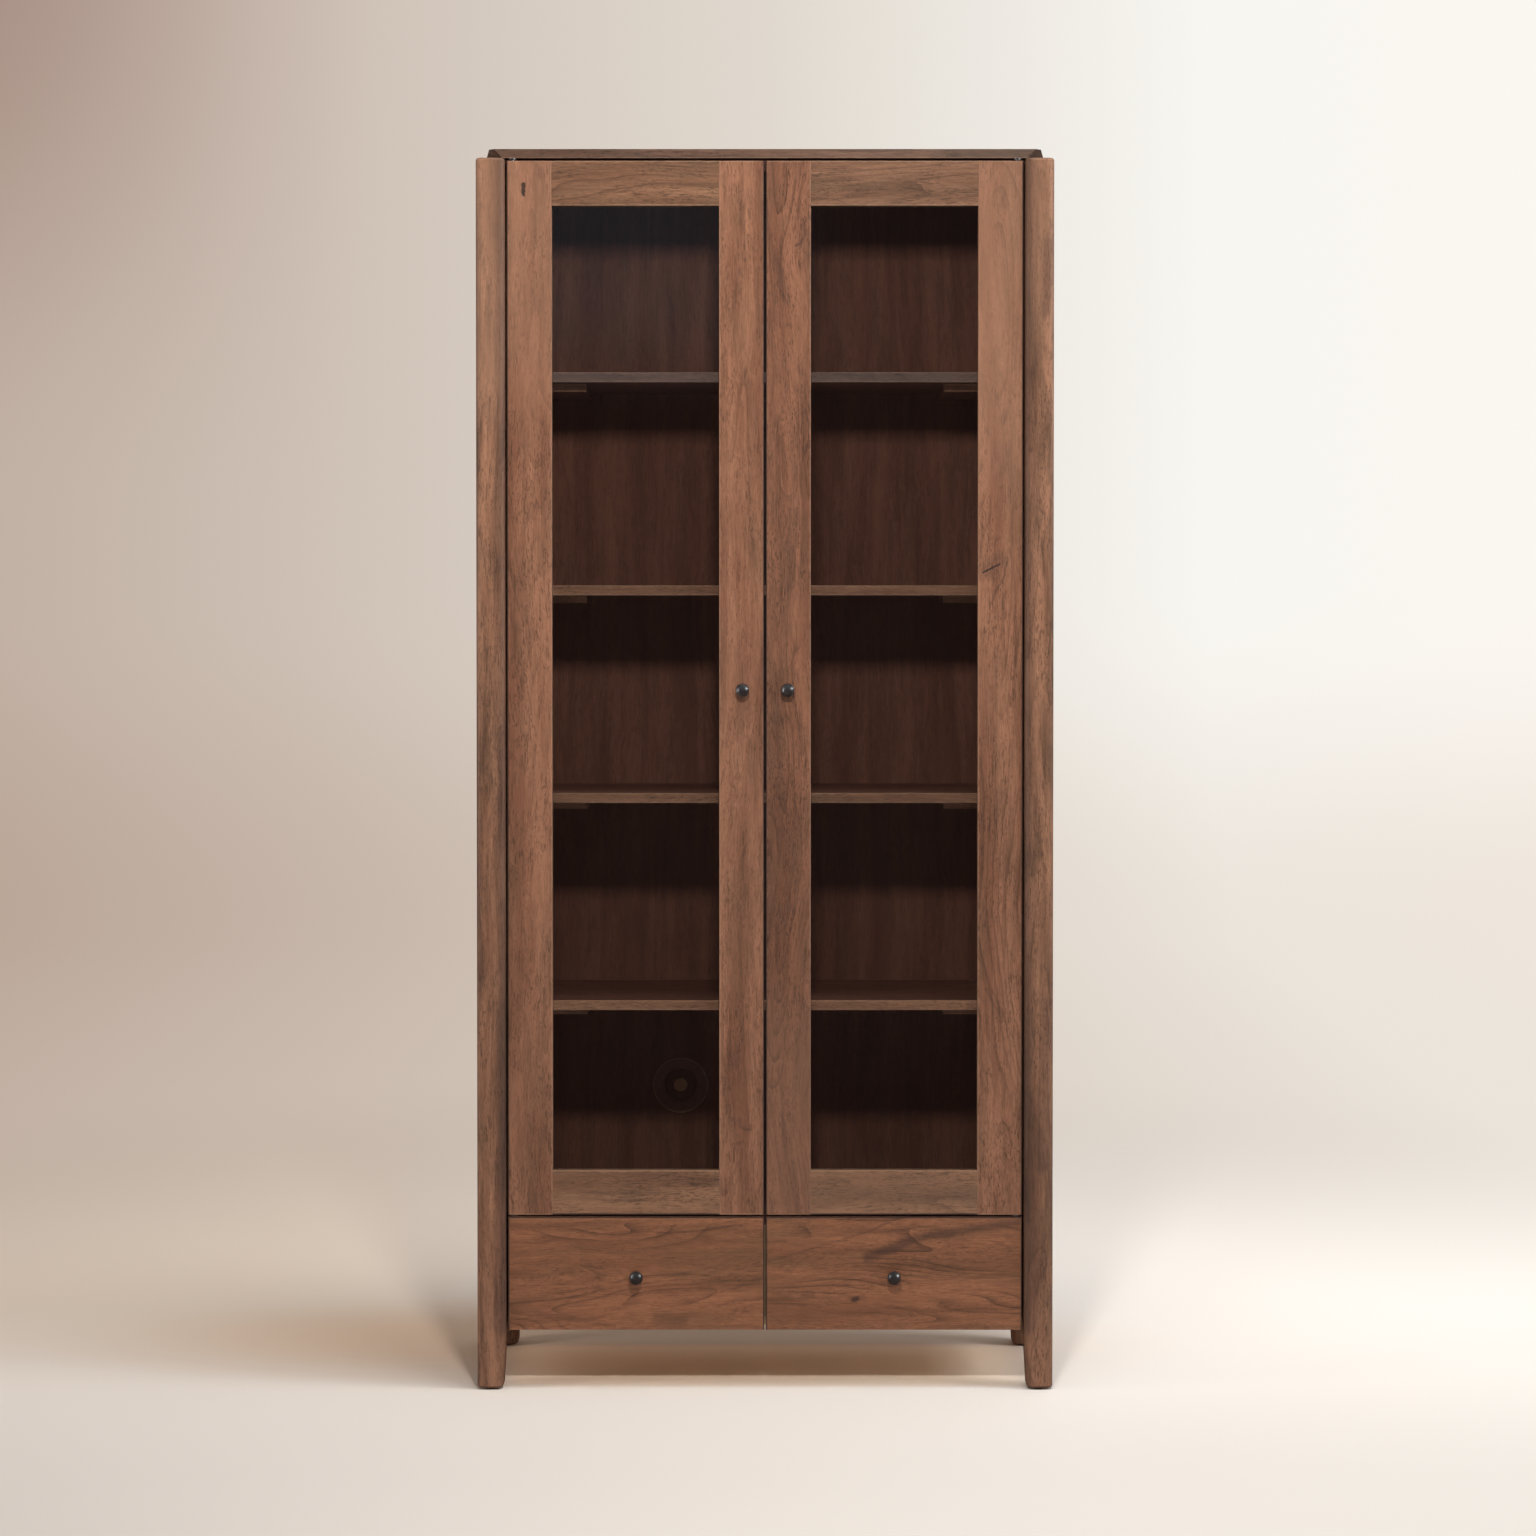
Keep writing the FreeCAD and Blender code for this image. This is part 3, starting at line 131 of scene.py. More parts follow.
def make_timber():
    """Sawn and oiled hardwood with its grain along Z: soft tone bands, streaks, growth lines,
    fibres and short dark pores."""
    tree, given, result = new_group(
        "timber",
        [("Vector", VECTOR, (0, 0, 0)), ("Seed", FLOAT, 0.0),
         ("Light", COLOUR, (0.3, 0.15, 0.09, 1)), ("Mid", COLOUR, (0.22, 0.1, 0.06, 1)),
         ("Cool", COLOUR, (0.2, 0.12, 0.08, 1)), ("Dark", COLOUR, (0.1, 0.06, 0.04, 1)),
         ("Wander", FLOAT, 0.05), ("Streaks", FLOAT, 0.5), ("Lines", FLOAT, 0.3),
         ("Pores", FLOAT, 0.5), ("End", FLOAT, 0.0), ("Worn and lit", FLOAT, 0.0),
         ("Mark", FLOAT, 0.0)],
        [("Color", COLOUR), ("Roughness", FLOAT), ("Height", FLOAT)],
    )
    shift = put(tree, "ShaderNodeVectorMath",
                {0: (7.31, 3.17, 5.73), "Scale": given.outputs["Seed"]},
                operation="SCALE").outputs[0]
    place = vectors(tree, "ADD", given.outputs["Vector"], shift)

    # a slow wander of the grain, and a quicker ripple
    slow = vectors(tree, "SUBTRACT", speckle(tree, place, GRAIN_SWAY, 2.0).outputs["Color"],
                   (0.5, 0.5, 0.5))
    sway = put(tree, "ShaderNodeVectorMath", {0: slow, "Scale": given.outputs["Wander"]},
               operation="SCALE").outputs[0]
    ripple = vectors(tree, "SUBTRACT", speckle(tree, place, GRAIN_RIPPLE, 2.0).outputs["Color"],
                     (0.5, 0.5, 0.5))
    ripple = vectors(tree, "MULTIPLY", ripple, (RIPPLE_DEPTH, RIPPLE_DEPTH, RIPPLE_DEPTH))
    across = vectors(tree, "MULTIPLY", vectors(tree, "ADD", sway, ripple), (1.0, 1.0, 0.0))
    bent = vectors(tree, "ADD", place, across)

    # broad tone bands, and cooler blotches where the timber was oiled unevenly
    bands = speckle(tree, bent, TONE_BANDS, 4.0, 0.6).outputs["Fac"]
    bands = ease(tree, bands, 0.34, 0.66)
    colour = blend_colour(tree, bands, given.outputs["Mid"], given.outputs["Light"])
    blotches = speckle(tree, bent, OIL_BLOTCHES, 5.0, 0.7).outputs["Fac"]
    blotches = ease(tree, blotches, 0.42, 0.68, 0.0, 1.3)
    blotches = sums(tree, "MULTIPLY", blotches, given.outputs["Streaks"], clamp=True)
    colour = blend_colour(tree, blotches, colour, given.outputs["Cool"])

    # dark streaks
    streaks = speckle(tree, bent, DARK_STREAKS, 5.0, 0.66).outputs["Fac"]
    streaks = ease(tree, streaks, 0.5, 0.74)
    streaks = sums(tree, "MULTIPLY", streaks, given.outputs["Streaks"], clamp=True)
    colour = blend_colour(tree, streaks, colour, given.outputs["Dark"])

    # growth lines, which nest and sweep as they do on a flat-sawn face
    level = speckle(tree, bent, GROWTH_LEVEL, 2.0, 0.4).outputs["Fac"]
    split = put(tree, "ShaderNodeSeparateXYZ",
                {0: vectors(tree, "ADD", given.outputs["Vector"], across)})
    flat = put(tree, "ShaderNodeCombineXYZ", {0: split.outputs[0], 1: split.outputs[1]})
    radius = vectors(tree, "LENGTH", flat.outputs[0], output="Value")
    turns = sums(tree, "MULTIPLY_ADD", level, LINES_PER_LEVEL,
                 sums(tree, "MULTIPLY", radius, LINES_PER_METRE))
    lines = sums(tree, "POWER", sums(tree, "FRACT", turns), LINE_SHARPNESS)
    patches = speckle(tree, bent, GROWTH_PATCHES, 3.0).outputs["Fac"]
    lines = sums(tree, "MULTIPLY", lines, ease(tree, patches, 0.42, 0.6))
    lines = sums(tree, "MULTIPLY", lines, given.outputs["Lines"], clamp=True)
    colour = blend_colour(tree, lines, colour, given.outputs["Dark"])

    # fibres, and pores as short dark dashes that gather in clouds
    fibres = speckle(tree, bent, FIBRES, 4.0, 0.7).outputs["Fac"]
    long_pores = ease(tree, speckle(tree, bent, LONG_PORES, 2.0).outputs["Fac"], 0.56, 0.67)
    short_pores = ease(tree, speckle(tree, bent, SHORT_PORES, 1.0).outputs["Fac"], 0.57, 0.68)
    cloud = speckle(tree, bent, PORE_CLOUDS, 2.0).outputs["Fac"]
    dashes = sums(tree, "MULTIPLY", sums(tree, "MAXIMUM", long_pores, short_pores),
                  ease(tree, cloud, 0.38, 0.6, 0.35, 1.0))
    dashes = sums(tree, "MULTIPLY", dashes, given.outputs["Pores"], clamp=True)
    colour = blend_colour(tree, dashes, colour, given.outputs["Dark"])
    shade = ease(tree, fibres, 0.25, 0.75, 0.77, 1.22)
    colour = blend_colour(tree, 1.0, colour, grey(tree, shade), "MULTIPLY")

    # end grain drinks more oil, arrises are rubbed lighter and carry a painted highlight, cracks
    # and knots are nearly black, and so is the painted shade along gaps
    ends = sums(tree, "MULTIPLY", given.outputs["End"], 0.62, clamp=True)
    colour = blend_colour(tree, ends, colour, given.outputs["Dark"])
    rubbed_and_lit = blend_colour(tree, 0.3, given.outputs["Light"], RUBBED_AND_LIT_WOOD)
    colour = blend_colour(tree, given.outputs["Worn and lit"], colour, rubbed_and_lit)
    colour = blend_colour(tree, given.outputs["Mark"], colour, CRACK_AND_GAP_SHADE)

    rough = ease(tree, fibres, 0.2, 0.8, 0.44, 0.58)
    rough = sums(tree, "MULTIPLY_ADD", dashes, 0.2, rough)
    rough = sums(tree, "MULTIPLY_ADD", given.outputs["End"], 0.15, rough)
    height = sums(tree, "MULTIPLY", fibres, 0.35)
    height = sums(tree, "SUBTRACT", height, dashes)
    height = sums(tree, "MULTIPLY_ADD", given.outputs["Mark"], -1.6, height)
    tree.links.new(colour, result.inputs["Color"])
    tree.links.new(rough, result.inputs["Roughness"])
    tree.links.new(height, result.inputs["Height"])
    return tree


def make_worn_lit_arris():
    """A mask along the edges of a squared board, from its lowest and highest corners: pale wear,
    and a painted highlight where the arrises catch the light.
    """
    tree, given, result = new_group(
        "worn_lit_arris",
        [("Vector", VECTOR, (0, 0, 0)), ("Low", VECTOR, (0, 0, 0)), ("High", VECTOR, (1, 1, 1)),
         ("Width", FLOAT, 0.003), ("Amount", FLOAT, 0.4)],
        [("Mask", FLOAT)],
    )
    above = vectors(tree, "SUBTRACT", given.outputs["Vector"], given.outputs["Low"])
    below = vectors(tree, "SUBTRACT", given.outputs["High"], given.outputs["Vector"])
    inset = put(tree, "ShaderNodeSeparateXYZ", {0: vectors(tree, "MINIMUM", above, below)})
    a, b, c = inset.outputs[0], inset.outputs[1], inset.outputs[2]
    small, large = sums(tree, "MINIMUM", a, b), sums(tree, "MAXIMUM", a, b)
    second = sums(tree, "MAXIMUM", small, sums(tree, "MINIMUM", large, c))
    edge_noise = speckle(tree, given.outputs["Vector"], (70.0, 70.0, 70.0), 3.0, 0.6).outputs["Fac"]
    reach = sums(tree, "MULTIPLY", given.outputs["Width"], ease(tree, edge_noise, 0.3, 0.7, 0.4, 1.5))
    edge = sums(tree, "SUBTRACT", 1.0, sums(tree, "DIVIDE", second, reach), clamp=True)
    mask = sums(tree, "MULTIPLY", edge, given.outputs["Amount"], clamp=True)
    tree.links.new(mask, result.inputs["Mask"])
    return tree


def make_line_mark():
    """A mask along a short line on a board's face: for slit knots, cracks and dark figures, for
    pale patches, and for painted shade along gaps.
    """
    tree, given, result = new_group(
        "line_mark",
        [("Vector", VECTOR, (0, 0, 0)), ("Start", VECTOR, (0, 0, 0)), ("Finish", VECTOR, (0, 0, 1)),
         ("Width", FLOAT, 0.002), ("Soft", FLOAT, 0.002), ("Strength", FLOAT, 1.0),
         ("Wander", FLOAT, 0.005)],
        [("Mask", FLOAT)],
    )
    on_face = (1.0, 0.0, 1.0)
    stray = speckle(tree, given.outputs["Vector"], (150.0, 150.0, 150.0), 2.0).outputs["Color"]
    stray = vectors(tree, "MULTIPLY", vectors(tree, "SUBTRACT", stray, (0.5, 0.5, 0.5)), on_face)
    stray = put(tree, "ShaderNodeVectorMath", {0: stray, "Scale": given.outputs["Wander"]},
                operation="SCALE").outputs[0]
    here = vectors(tree, "ADD", vectors(tree, "MULTIPLY", given.outputs["Vector"], on_face), stray)
    start = vectors(tree, "MULTIPLY", given.outputs["Start"], on_face)
    finish = vectors(tree, "MULTIPLY", given.outputs["Finish"], on_face)
    out, run = vectors(tree, "SUBTRACT", here, start), vectors(tree, "SUBTRACT", finish, start)
    along = sums(tree, "DIVIDE", vectors(tree, "DOT_PRODUCT", out, run, output="Value"),
                 vectors(tree, "DOT_PRODUCT", run, run, output="Value"), clamp=True)
    scaled = put(tree, "ShaderNodeVectorMath", {0: run, "Scale": along}, operation="SCALE")
    away = vectors(tree, "SUBTRACT", out, scaled.outputs[0])
    distance = vectors(tree, "LENGTH", away, output="Value")
    clear = sums(tree, "SUBTRACT", distance, given.outputs["Width"])
    faded = sums(tree, "DIVIDE", clear, given.outputs["Soft"], clamp=True)
    mask = sums(tree, "SUBTRACT", 1.0, ease(tree, faded, 0.0, 1.0))
    mask = sums(tree, "MULTIPLY", mask, given.outputs["Strength"], clamp=True)
    tree.links.new(mask, result.inputs["Mask"])
    return tree


def make_fine_surface():
    """Small uneven patches and specks for metal, paint and moulded plastic."""
    tree, given, result = new_group(
        "fine_surface",
        [("Vector", VECTOR, (0, 0, 0)), ("Base", COLOUR, (0.5, 0.5, 0.5, 1)),
         ("Patch", COLOUR, (0.4, 0.4, 0.4, 1)), ("Rough", FLOAT, 0.4), ("Spread", FLOAT, 0.1),
         ("Grain", FLOAT, 900.0)],
        [("Color", COLOUR), ("Roughness", FLOAT), ("Height", FLOAT)],
    )
    broad = speckle(tree, given.outputs["Vector"], (90.0, 90.0, 90.0), 3.0, 0.6).outputs["Fac"]
    scaled = put(tree, "ShaderNodeVectorMath",
                 {0: given.outputs["Vector"], "Scale": given.outputs["Grain"]}, operation="SCALE")
    fine = put(tree, "ShaderNodeTexNoise",
               {"Vector": scaled.outputs[0], "Scale": 1.0, "Detail": 2.0}).outputs["Fac"]
    mixed = sums(tree, "ADD", ease(tree, broad, 0.35, 0.65, 0.0, 0.7),
                 ease(tree, fine, 0.4, 0.7, 0.0, 0.3))
    colour = blend_colour(tree, mixed, given.outputs["Base"], given.outputs["Patch"])
    swing = sums(tree, "SUBTRACT", broad, 0.5)
    rough = sums(tree, "MULTIPLY_ADD", swing, given.outputs["Spread"], given.outputs["Rough"])
    tree.links.new(colour, result.inputs["Color"])
    tree.links.new(rough, result.inputs["Roughness"])
    tree.links.new(fine, result.inputs["Height"])
    return tree


TIMBER = make_timber()
WORN_LIT_ARRIS = make_worn_lit_arris()
LINE_MARK = make_line_mark()
FINE_SURFACE = make_fine_surface()


# ---------------------------------------------------------------- finishes
FINE_GRAIN = 900.0
RING_FADE = 0.001
# radii between which the port's ring has its rim, a painted highlight, and its cap the boss
PORT_RIM_HIGHLIGHT = (0.0440, 0.0466)
PORT_BOSS = (-RING_FADE, 0.0112)
# the door frames' arrises are paled further: a painted highlight where they catch the light, on top
# of wear
FRAME_WEAR_AND_HIGHLIGHT = 0.6


def new_material(name):
    material = bpy.data.materials.new(name)
    material.use_nodes = True
    tree = material.node_tree
    tree.nodes.clear()
    output = tree.nodes.new("ShaderNodeOutputMaterial")
    shader = tree.nodes.new("ShaderNodeBsdfPrincipled")
    tree.links.new(shader.outputs[0], output.inputs["Surface"])
    return material, tree, shader


def show(tree, surface):
    """Makes a shader the one that the material shows."""
    output = next(node for node in tree.nodes if node.type == "OUTPUT_MATERIAL")
    tree.links.new(surface, output.inputs["Surface"])


def dress(node, material):
    """Gives a carried-over piece its finish."""
    mesh = nodes[node].data
    mesh.materials.clear()
    mesh.materials.append(material)


# each timber's light, middle, cool and dark tones; top, shelf, low_shelf, high_shelf and batten are
# copies made darker and lighter to paint light and shade, the battens partly paler wood too
WOODS = {
    "stile": (tone(147, 104, 81), tone(119, 80, 61), tone(105, 78, 60), tone(61, 41, 32)),
    "warm_stile": (tone(132, 91, 70), tone(106, 71, 54), tone(96, 70, 56), tone(56, 39, 32)),
    "dim_rail": (tone(127, 94, 74), tone(103, 74, 57), tone(90, 71, 56), tone(53, 39, 33)),
    "rail": (tone(139, 103, 79), tone(112, 80, 61), tone(96, 76, 60), tone(57, 42, 34)),
    "post": (tone(151, 110, 86), tone(115, 80, 61), tone(100, 74, 58), tone(54, 38, 31)),
    "drawer": (tone(144, 96, 69), tone(120, 79, 56), tone(104, 77, 55), tone(57, 40, 32)),
    # the top board: darkened against the overhead lamp's light on its edge, painted shade
    "top": (tone(104, 78, 63), tone(82, 59, 46), tone(70, 57, 47), tone(43, 32, 27)),
    "side": (tone(130, 93, 72), tone(110, 76, 58), tone(99, 76, 60), tone(65, 47, 39)),
    # shelf front edges, lighter than the shelf tops, darker on the top shelf and lightest on the
    # lowest: painted light and shade
    "shelf": (tone(119, 86, 68), tone(99, 69, 53), tone(88, 67, 51), tone(56, 38, 30)),
    "low_shelf": (tone(143, 103, 81), tone(119, 83, 64), tone(104, 80, 61), tone(65, 45, 36)),
    "high_shelf": (tone(94, 75, 70), tone(77, 62, 56), tone(70, 58, 54), tone(45, 35, 32)),
    "inside": (tone(93, 61, 49), tone(76, 47, 38), tone(68, 47, 39), tone(44, 27, 23)),
    # batten fronts: paler wood, and painted light on fronts that the shelves above shade
    "batten": (tone(176, 130, 104), tone(150, 108, 84), tone(138, 106, 84), tone(92, 64, 52)),
    "pale": (tone(186, 158, 124), tone(168, 138, 104), tone(158, 136, 108), tone(124, 94, 68)),
}


MARK_WANDER = 0.005  # metres that a crack or a figure strays from straight

# dark figures on the boards' faces: start (x, z), finish (x, z), half width, softness, strength
FIGURES = {
    # two smoky streaks
    "right_front_post": [((0.452, 1.83), (0.447, 1.72), 0.002, 0.012, 0.35),
                         ((0.449, 0.62), (0.444, 0.36), 0.003, 0.014, 0.35)],
    # a slit knot near the top
    "left_hinge_stile": [((-0.3845, 1.9075), (-0.3835, 1.9235), 0.0022, 0.0018, 0.9)],
    # a hooked knot low down with a line under it, a streak above it and a broad dim patch
    "left_meeting_stile": [((-0.0405, 0.4340), (-0.0395, 0.4206), 0.0008, 0.004, 0.3),
                           ((-0.0395, 0.4206), (-0.0312, 0.4163), 0.0008, 0.004, 0.35),
                           ((-0.0312, 0.4163), (-0.0232, 0.4165), 0.0008, 0.003, 0.45),
                           ((-0.0232, 0.4165), (-0.0240, 0.4228), 0.0008, 0.003, 0.35),
                           ((-0.0520, 0.3930), (-0.0355, 0.3960), 0.0006, 0.004, 0.25),
                           ((-0.038, 0.563), (-0.048, 0.520), 0.002, 0.009, 0.22),
                           ((-0.037, 1.10), (-0.037, 0.85), 0.03, 0.2, 0.09)],
    # a curled line at the top and a soft streak below it
    "right_meeting_stile": [((0.060, 1.868), (0.064, 1.846), 0.0006, 0.003, 0.4),
                            ((0.064, 1.846), (0.058, 1.829), 0.0006, 0.003, 0.45),
                            ((0.058, 1.829), (0.049, 1.826), 0.0006, 0.003, 0.4),
                            ((0.017, 1.800), (0.038, 1.735), 0.001, 0.009, 0.25)],
    # a crack in a dark patch, a growth line that curves down past it and two fine streaks
    "right_hinge_stile": [((0.3480, 1.3064), (0.3740, 1.3200), 0.0008, 0.0016, 0.95),
                          ((0.3560, 1.3080), (0.3700, 1.3260), 0.007, 0.013, 0.28),
                          ((0.3869, 1.3292), (0.3803, 1.2984), 0.0004, 0.0014, 0.5),
                          ((0.3803, 1.2984), (0.3689, 1.2777), 0.0004, 0.0014, 0.45),
                          ((0.3689, 1.2777), (0.3592, 1.2546), 0.0004, 0.0014, 0.4),
                          ((0.3592, 1.2546), (0.3576, 1.2269), 0.0004, 0.0014, 0.35),
                          ((0.352, 0.642), (0.380, 0.590), 0.0005, 0.003, 0.3),
                          ((0.362, 0.640), (0.395, 0.565), 0.0005, 0.003, 0.3)],
    # a dark patch at the bottom edge, a long fine line near the top and two soft streaks
    "left_drawer_front": [((-0.1715, 0.1095), (-0.134, 0.1065), 0.003, 0.014, 0.3),
                          ((-0.172, 0.2506), (-0.121, 0.252), 0.0003, 0.0022, 0.45),
                          ((-0.121, 0.252), (-0.037, 0.263), 0.0003, 0.0022, 0.4),
                          ((-0.366, 0.123), (-0.242, 0.101), 0.001, 0.006, 0.2),
                          ((-0.070, 0.156), (-0.010, 0.174), 0.0004, 0.003, 0.25)],
    # a dark sweep up to the corner, a finer one to its left, a small knot and a faint one
    "right_drawer_front": [((0.165, 0.211), (0.246, 0.243), 0.0022, 0.011, 0.5),
                           ((0.246, 0.243), (0.407, 0.268), 0.0016, 0.010, 0.5),
                           ((0.005, 0.204), (0.165, 0.252), 0.0004, 0.003, 0.25),
                           ((0.165, 0.252), (0.210, 0.273), 0.0004, 0.003, 0.25),
                           ((0.141, 0.143), (0.148, 0.145), 0.0016, 0.005, 0.8),
                           ((0.064, 0.150), (0.074, 0.151), 0.002, 0.008, 0.25)],
}

# lighter patches, given in the same way; those high on the posts and hinge stiles are a painted
# highlight where the lamps light the tops more
PALE_PATCHES = {
    "left_front_post": [((-0.445, 1.95), (-0.441, 1.66), 0.02, 0.16, 0.3)],
    "right_front_post": [((0.437, 1.95), (0.436, 1.76), 0.015, 0.14, 0.2)],
    "left_hinge_stile": [((-0.375, 1.95), (-0.375, 1.72), 0.03, 0.2, 0.2)],
    "right_hinge_stile": [((0.368, 1.95), (0.366, 1.60), 0.03, 0.22, 0.3)],
    "right_meeting_stile": [((0.038, 0.30), (0.038, 0.50), 0.03, 0.2, 0.16)],
    "right_bottom_rail": [((0.08, 0.315), (0.34, 0.315), 0.03, 0.03, 0.14)],
}

# painted shade along the straight gaps where a board's front meets its neighbour, given in the same
# way; on the posts a broad band of painted shade down the inner rounded edge, which faces away from
# the light
BOARD_GAP_SHADE = (0.001, 0.002, 0.95)
POST_EDGE_SHADE = (0.0005, 0.022, 0.52)
SEAM_SHADE = {
    "left_front_post": [((-0.4145, 0.10), (-0.4145, 1.96), *POST_EDGE_SHADE)],
    "right_front_post": [((0.4145, 0.10), (0.4145, 1.96), *POST_EDGE_SHADE)],
    "left_hinge_stile": [((-0.4112, 0.279), (-0.4112, 1.961), *BOARD_GAP_SHADE)],
    "left_meeting_stile": [((-0.0013, 0.279), (-0.0013, 1.961), *BOARD_GAP_SHADE)],
    "right_meeting_stile": [((0.0013, 0.279), (0.0013, 1.961), *BOARD_GAP_SHADE)],
    "right_hinge_stile": [((0.4112, 0.279), (0.4112, 1.961), *BOARD_GAP_SHADE)],
    "left_bottom_rail": [((-0.42, 0.2797), (0.42, 0.2797), *BOARD_GAP_SHADE)],
    "right_bottom_rail": [((-0.42, 0.2797), (0.42, 0.2797), *BOARD_GAP_SHADE)],
    "left_drawer_front": [((-0.42, 0.2760), (0.0, 0.2760), *BOARD_GAP_SHADE),
                          ((-0.4112, 0.094), (-0.4112, 0.2765), *BOARD_GAP_SHADE),
                          ((-0.0013, 0.094), (-0.0013, 0.2765), *BOARD_GAP_SHADE)],
    "right_drawer_front": [((0.42, 0.2760), (0.0, 0.2760), *BOARD_GAP_SHADE),
                           ((0.4112, 0.094), (0.4112, 0.2765), *BOARD_GAP_SHADE),
                           ((0.0013, 0.094), (0.0013, 0.2765), *BOARD_GAP_SHADE)],
}


def marks_mask(tree, spots, marks, wander, mask=None):
    """One mask from several (start, finish, half width, softness, strength) lines, on top of
    another mask. Wander is how far the lines stray from straight."""
    for start, finish, width, soft, strength in marks:
        one = use_group(
            tree, LINE_MARK,
            {"Vector": spots.outputs["Object"], "Start": (start[0], 0.0, start[1]),
             "Finish": (finish[0], 0.0, finish[1]), "Width": width, "Soft": soft,
             "Strength": strength, "Wander": wander}).outputs["Mask"]
        mask = one if mask is None else sums(tree, "MAXIMUM", mask, one)
    return mask


def facing_front(tree, spots, low, high):
    """A mask of the faces that look forward."""
    forward = vectors(tree, "DOT_PRODUCT", spots.outputs["Normal"], (0.0, -1.0, 0.0),
                      output="Value")
    return ease(tree, forward, low, high)


def wood(node, kind, grain, seed, pith, streaks=0.5, lines=0.3, pores=0.55, arris=0.003,
         worn_and_lit=0.4, wander=0.05, front=None):
    """One board in its own piece of timber, with its figures, its pale patches (some a painted
    highlight) and painted shade along its seams. The pith is how far the heart of the log lies from
    the board's centre, and front is another timber for the board's front edge, a lighter or darker
    copy that paints the light falling on that edge."""
    material, tree, shader = new_material("wood_" + node)
    low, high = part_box(node)
    centre = (low + high) / 2
    turn, axis = ALONG[grain]
    heart = Euler(turn).to_matrix() @ (centre + Vector(pith))
    spots = tree.nodes.new("ShaderNodeTexCoord")
    mapped = put(tree, "ShaderNodeMapping",
                 {"Vector": spots.outputs["Object"], "Rotation": turn, "Location": -heart})
    facing = vectors(tree, "DOT_PRODUCT", spots.outputs["Normal"], axis, output="Value")
    ends = ease(tree, sums(tree, "ABSOLUTE", facing), 0.45, 0.85)
    # paler arrises: wear, and a painted highlight where they catch the light
    rubbed_and_lit = use_group(tree, WORN_LIT_ARRIS,
                       {"Vector": spots.outputs["Object"], "Low": low, "High": high,
                        "Width": arris, "Amount": worn_and_lit}).outputs["Mask"]
    # lighter patches, those high on the posts and hinge stiles a painted highlight
    rubbed_and_lit = marks_mask(tree, spots, PALE_PATCHES.get(node, ()), MARK_WANDER, rubbed_and_lit)
    tones = dict(zip(("Light", "Mid", "Cool", "Dark"), WOODS[kind]))
    if front is not None:
        forward = facing_front(tree, spots, 0.5, 0.8)
        tones = {name: blend_colour(tree, forward, colour, other)
                 for (name, colour), other in zip(tones.items(), WOODS[front])}
    grain_of_board = use_group(
        tree, TIMBER,
        {"Vector": mapped.outputs[0], "Seed": seed, "Wander": wander, "Streaks": streaks,
         "Lines": lines, "Pores": pores, "End": ends, "Worn and lit": rubbed_and_lit, **tones})
    marks_and_shade = marks_mask(tree, spots, FIGURES.get(node, ()), MARK_WANDER)
    # painted shade along the gaps, on forward faces only
    if node in SEAM_SHADE:
        gap_shade = sums(tree, "MULTIPLY", marks_mask(tree, spots, SEAM_SHADE[node], 0.0),
                      facing_front(tree, spots, 0.05, 0.25))
        marks_and_shade = gap_shade if marks_and_shade is None else sums(tree, "MAXIMUM", gap_shade, marks_and_shade)
    if marks_and_shade is not None:
        tree.links.new(marks_and_shade, grain_of_board.inputs["Mark"])
    tree.links.new(grain_of_board.outputs["Color"], shader.inputs["Base Color"])
    tree.links.new(grain_of_board.outputs["Roughness"], shader.inputs["Roughness"])
    relief = put(tree, "ShaderNodeBump",
                 {"Height": grain_of_board.outputs["Height"], "Strength": 0.5,
                  "Distance": 0.0006})
    tree.links.new(relief.outputs[0], shader.inputs["Normal"])
    shader.inputs["Specular IOR Level"].default_value = 0.4
    dress(node, material)


def ring_mask(tree, spots, node, inner, outer):
    """A mask between two radii about a piece's centre, as seen from the front."""
    low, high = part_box(node)
    centre = (low + high) / 2
    out = vectors(tree, "SUBTRACT", spots.outputs["Object"], centre)
    out = vectors(tree, "MULTIPLY", out, (1.0, 0.0, 1.0))
    reach = vectors(tree, "LENGTH", out, output="Value")
    return sums(tree, "MULTIPLY", ease(tree, reach, inner, inner + RING_FADE),
                ease(tree, reach, outer, outer + RING_FADE, 1.0, 0.0))


def fine_material(name, base, patch, metallic=0.0, rough=0.4, spread=0.15, relief=0.4, ring=None):
    """Metal or moulded plastic, slightly uneven in colour and polish. A ring is a colour, then
    the piece and the two radii between which it shows."""
    material, tree, shader = new_material(name)
    spots = tree.nodes.new("ShaderNodeTexCoord")
    surface = use_group(tree, FINE_SURFACE,
                        {"Vector": spots.outputs["Object"], "Base": base, "Patch": patch,
                         "Rough": rough, "Spread": spread, "Grain": FINE_GRAIN})
    colour = surface.outputs["Color"]
    if ring is not None:
        colour = blend_colour(tree, ring_mask(tree, spots, *ring[1:]), colour, ring[0])
    tree.links.new(colour, shader.inputs["Base Color"])
    tree.links.new(surface.outputs["Roughness"], shader.inputs["Roughness"])
    bump = put(tree, "ShaderNodeBump", {"Height": surface.outputs["Height"], "Strength": relief,
                                        "Distance": 0.0002})
    tree.links.new(bump.outputs[0], shader.inputs["Normal"])
    shader.inputs["Metallic"].default_value = metallic
    return material


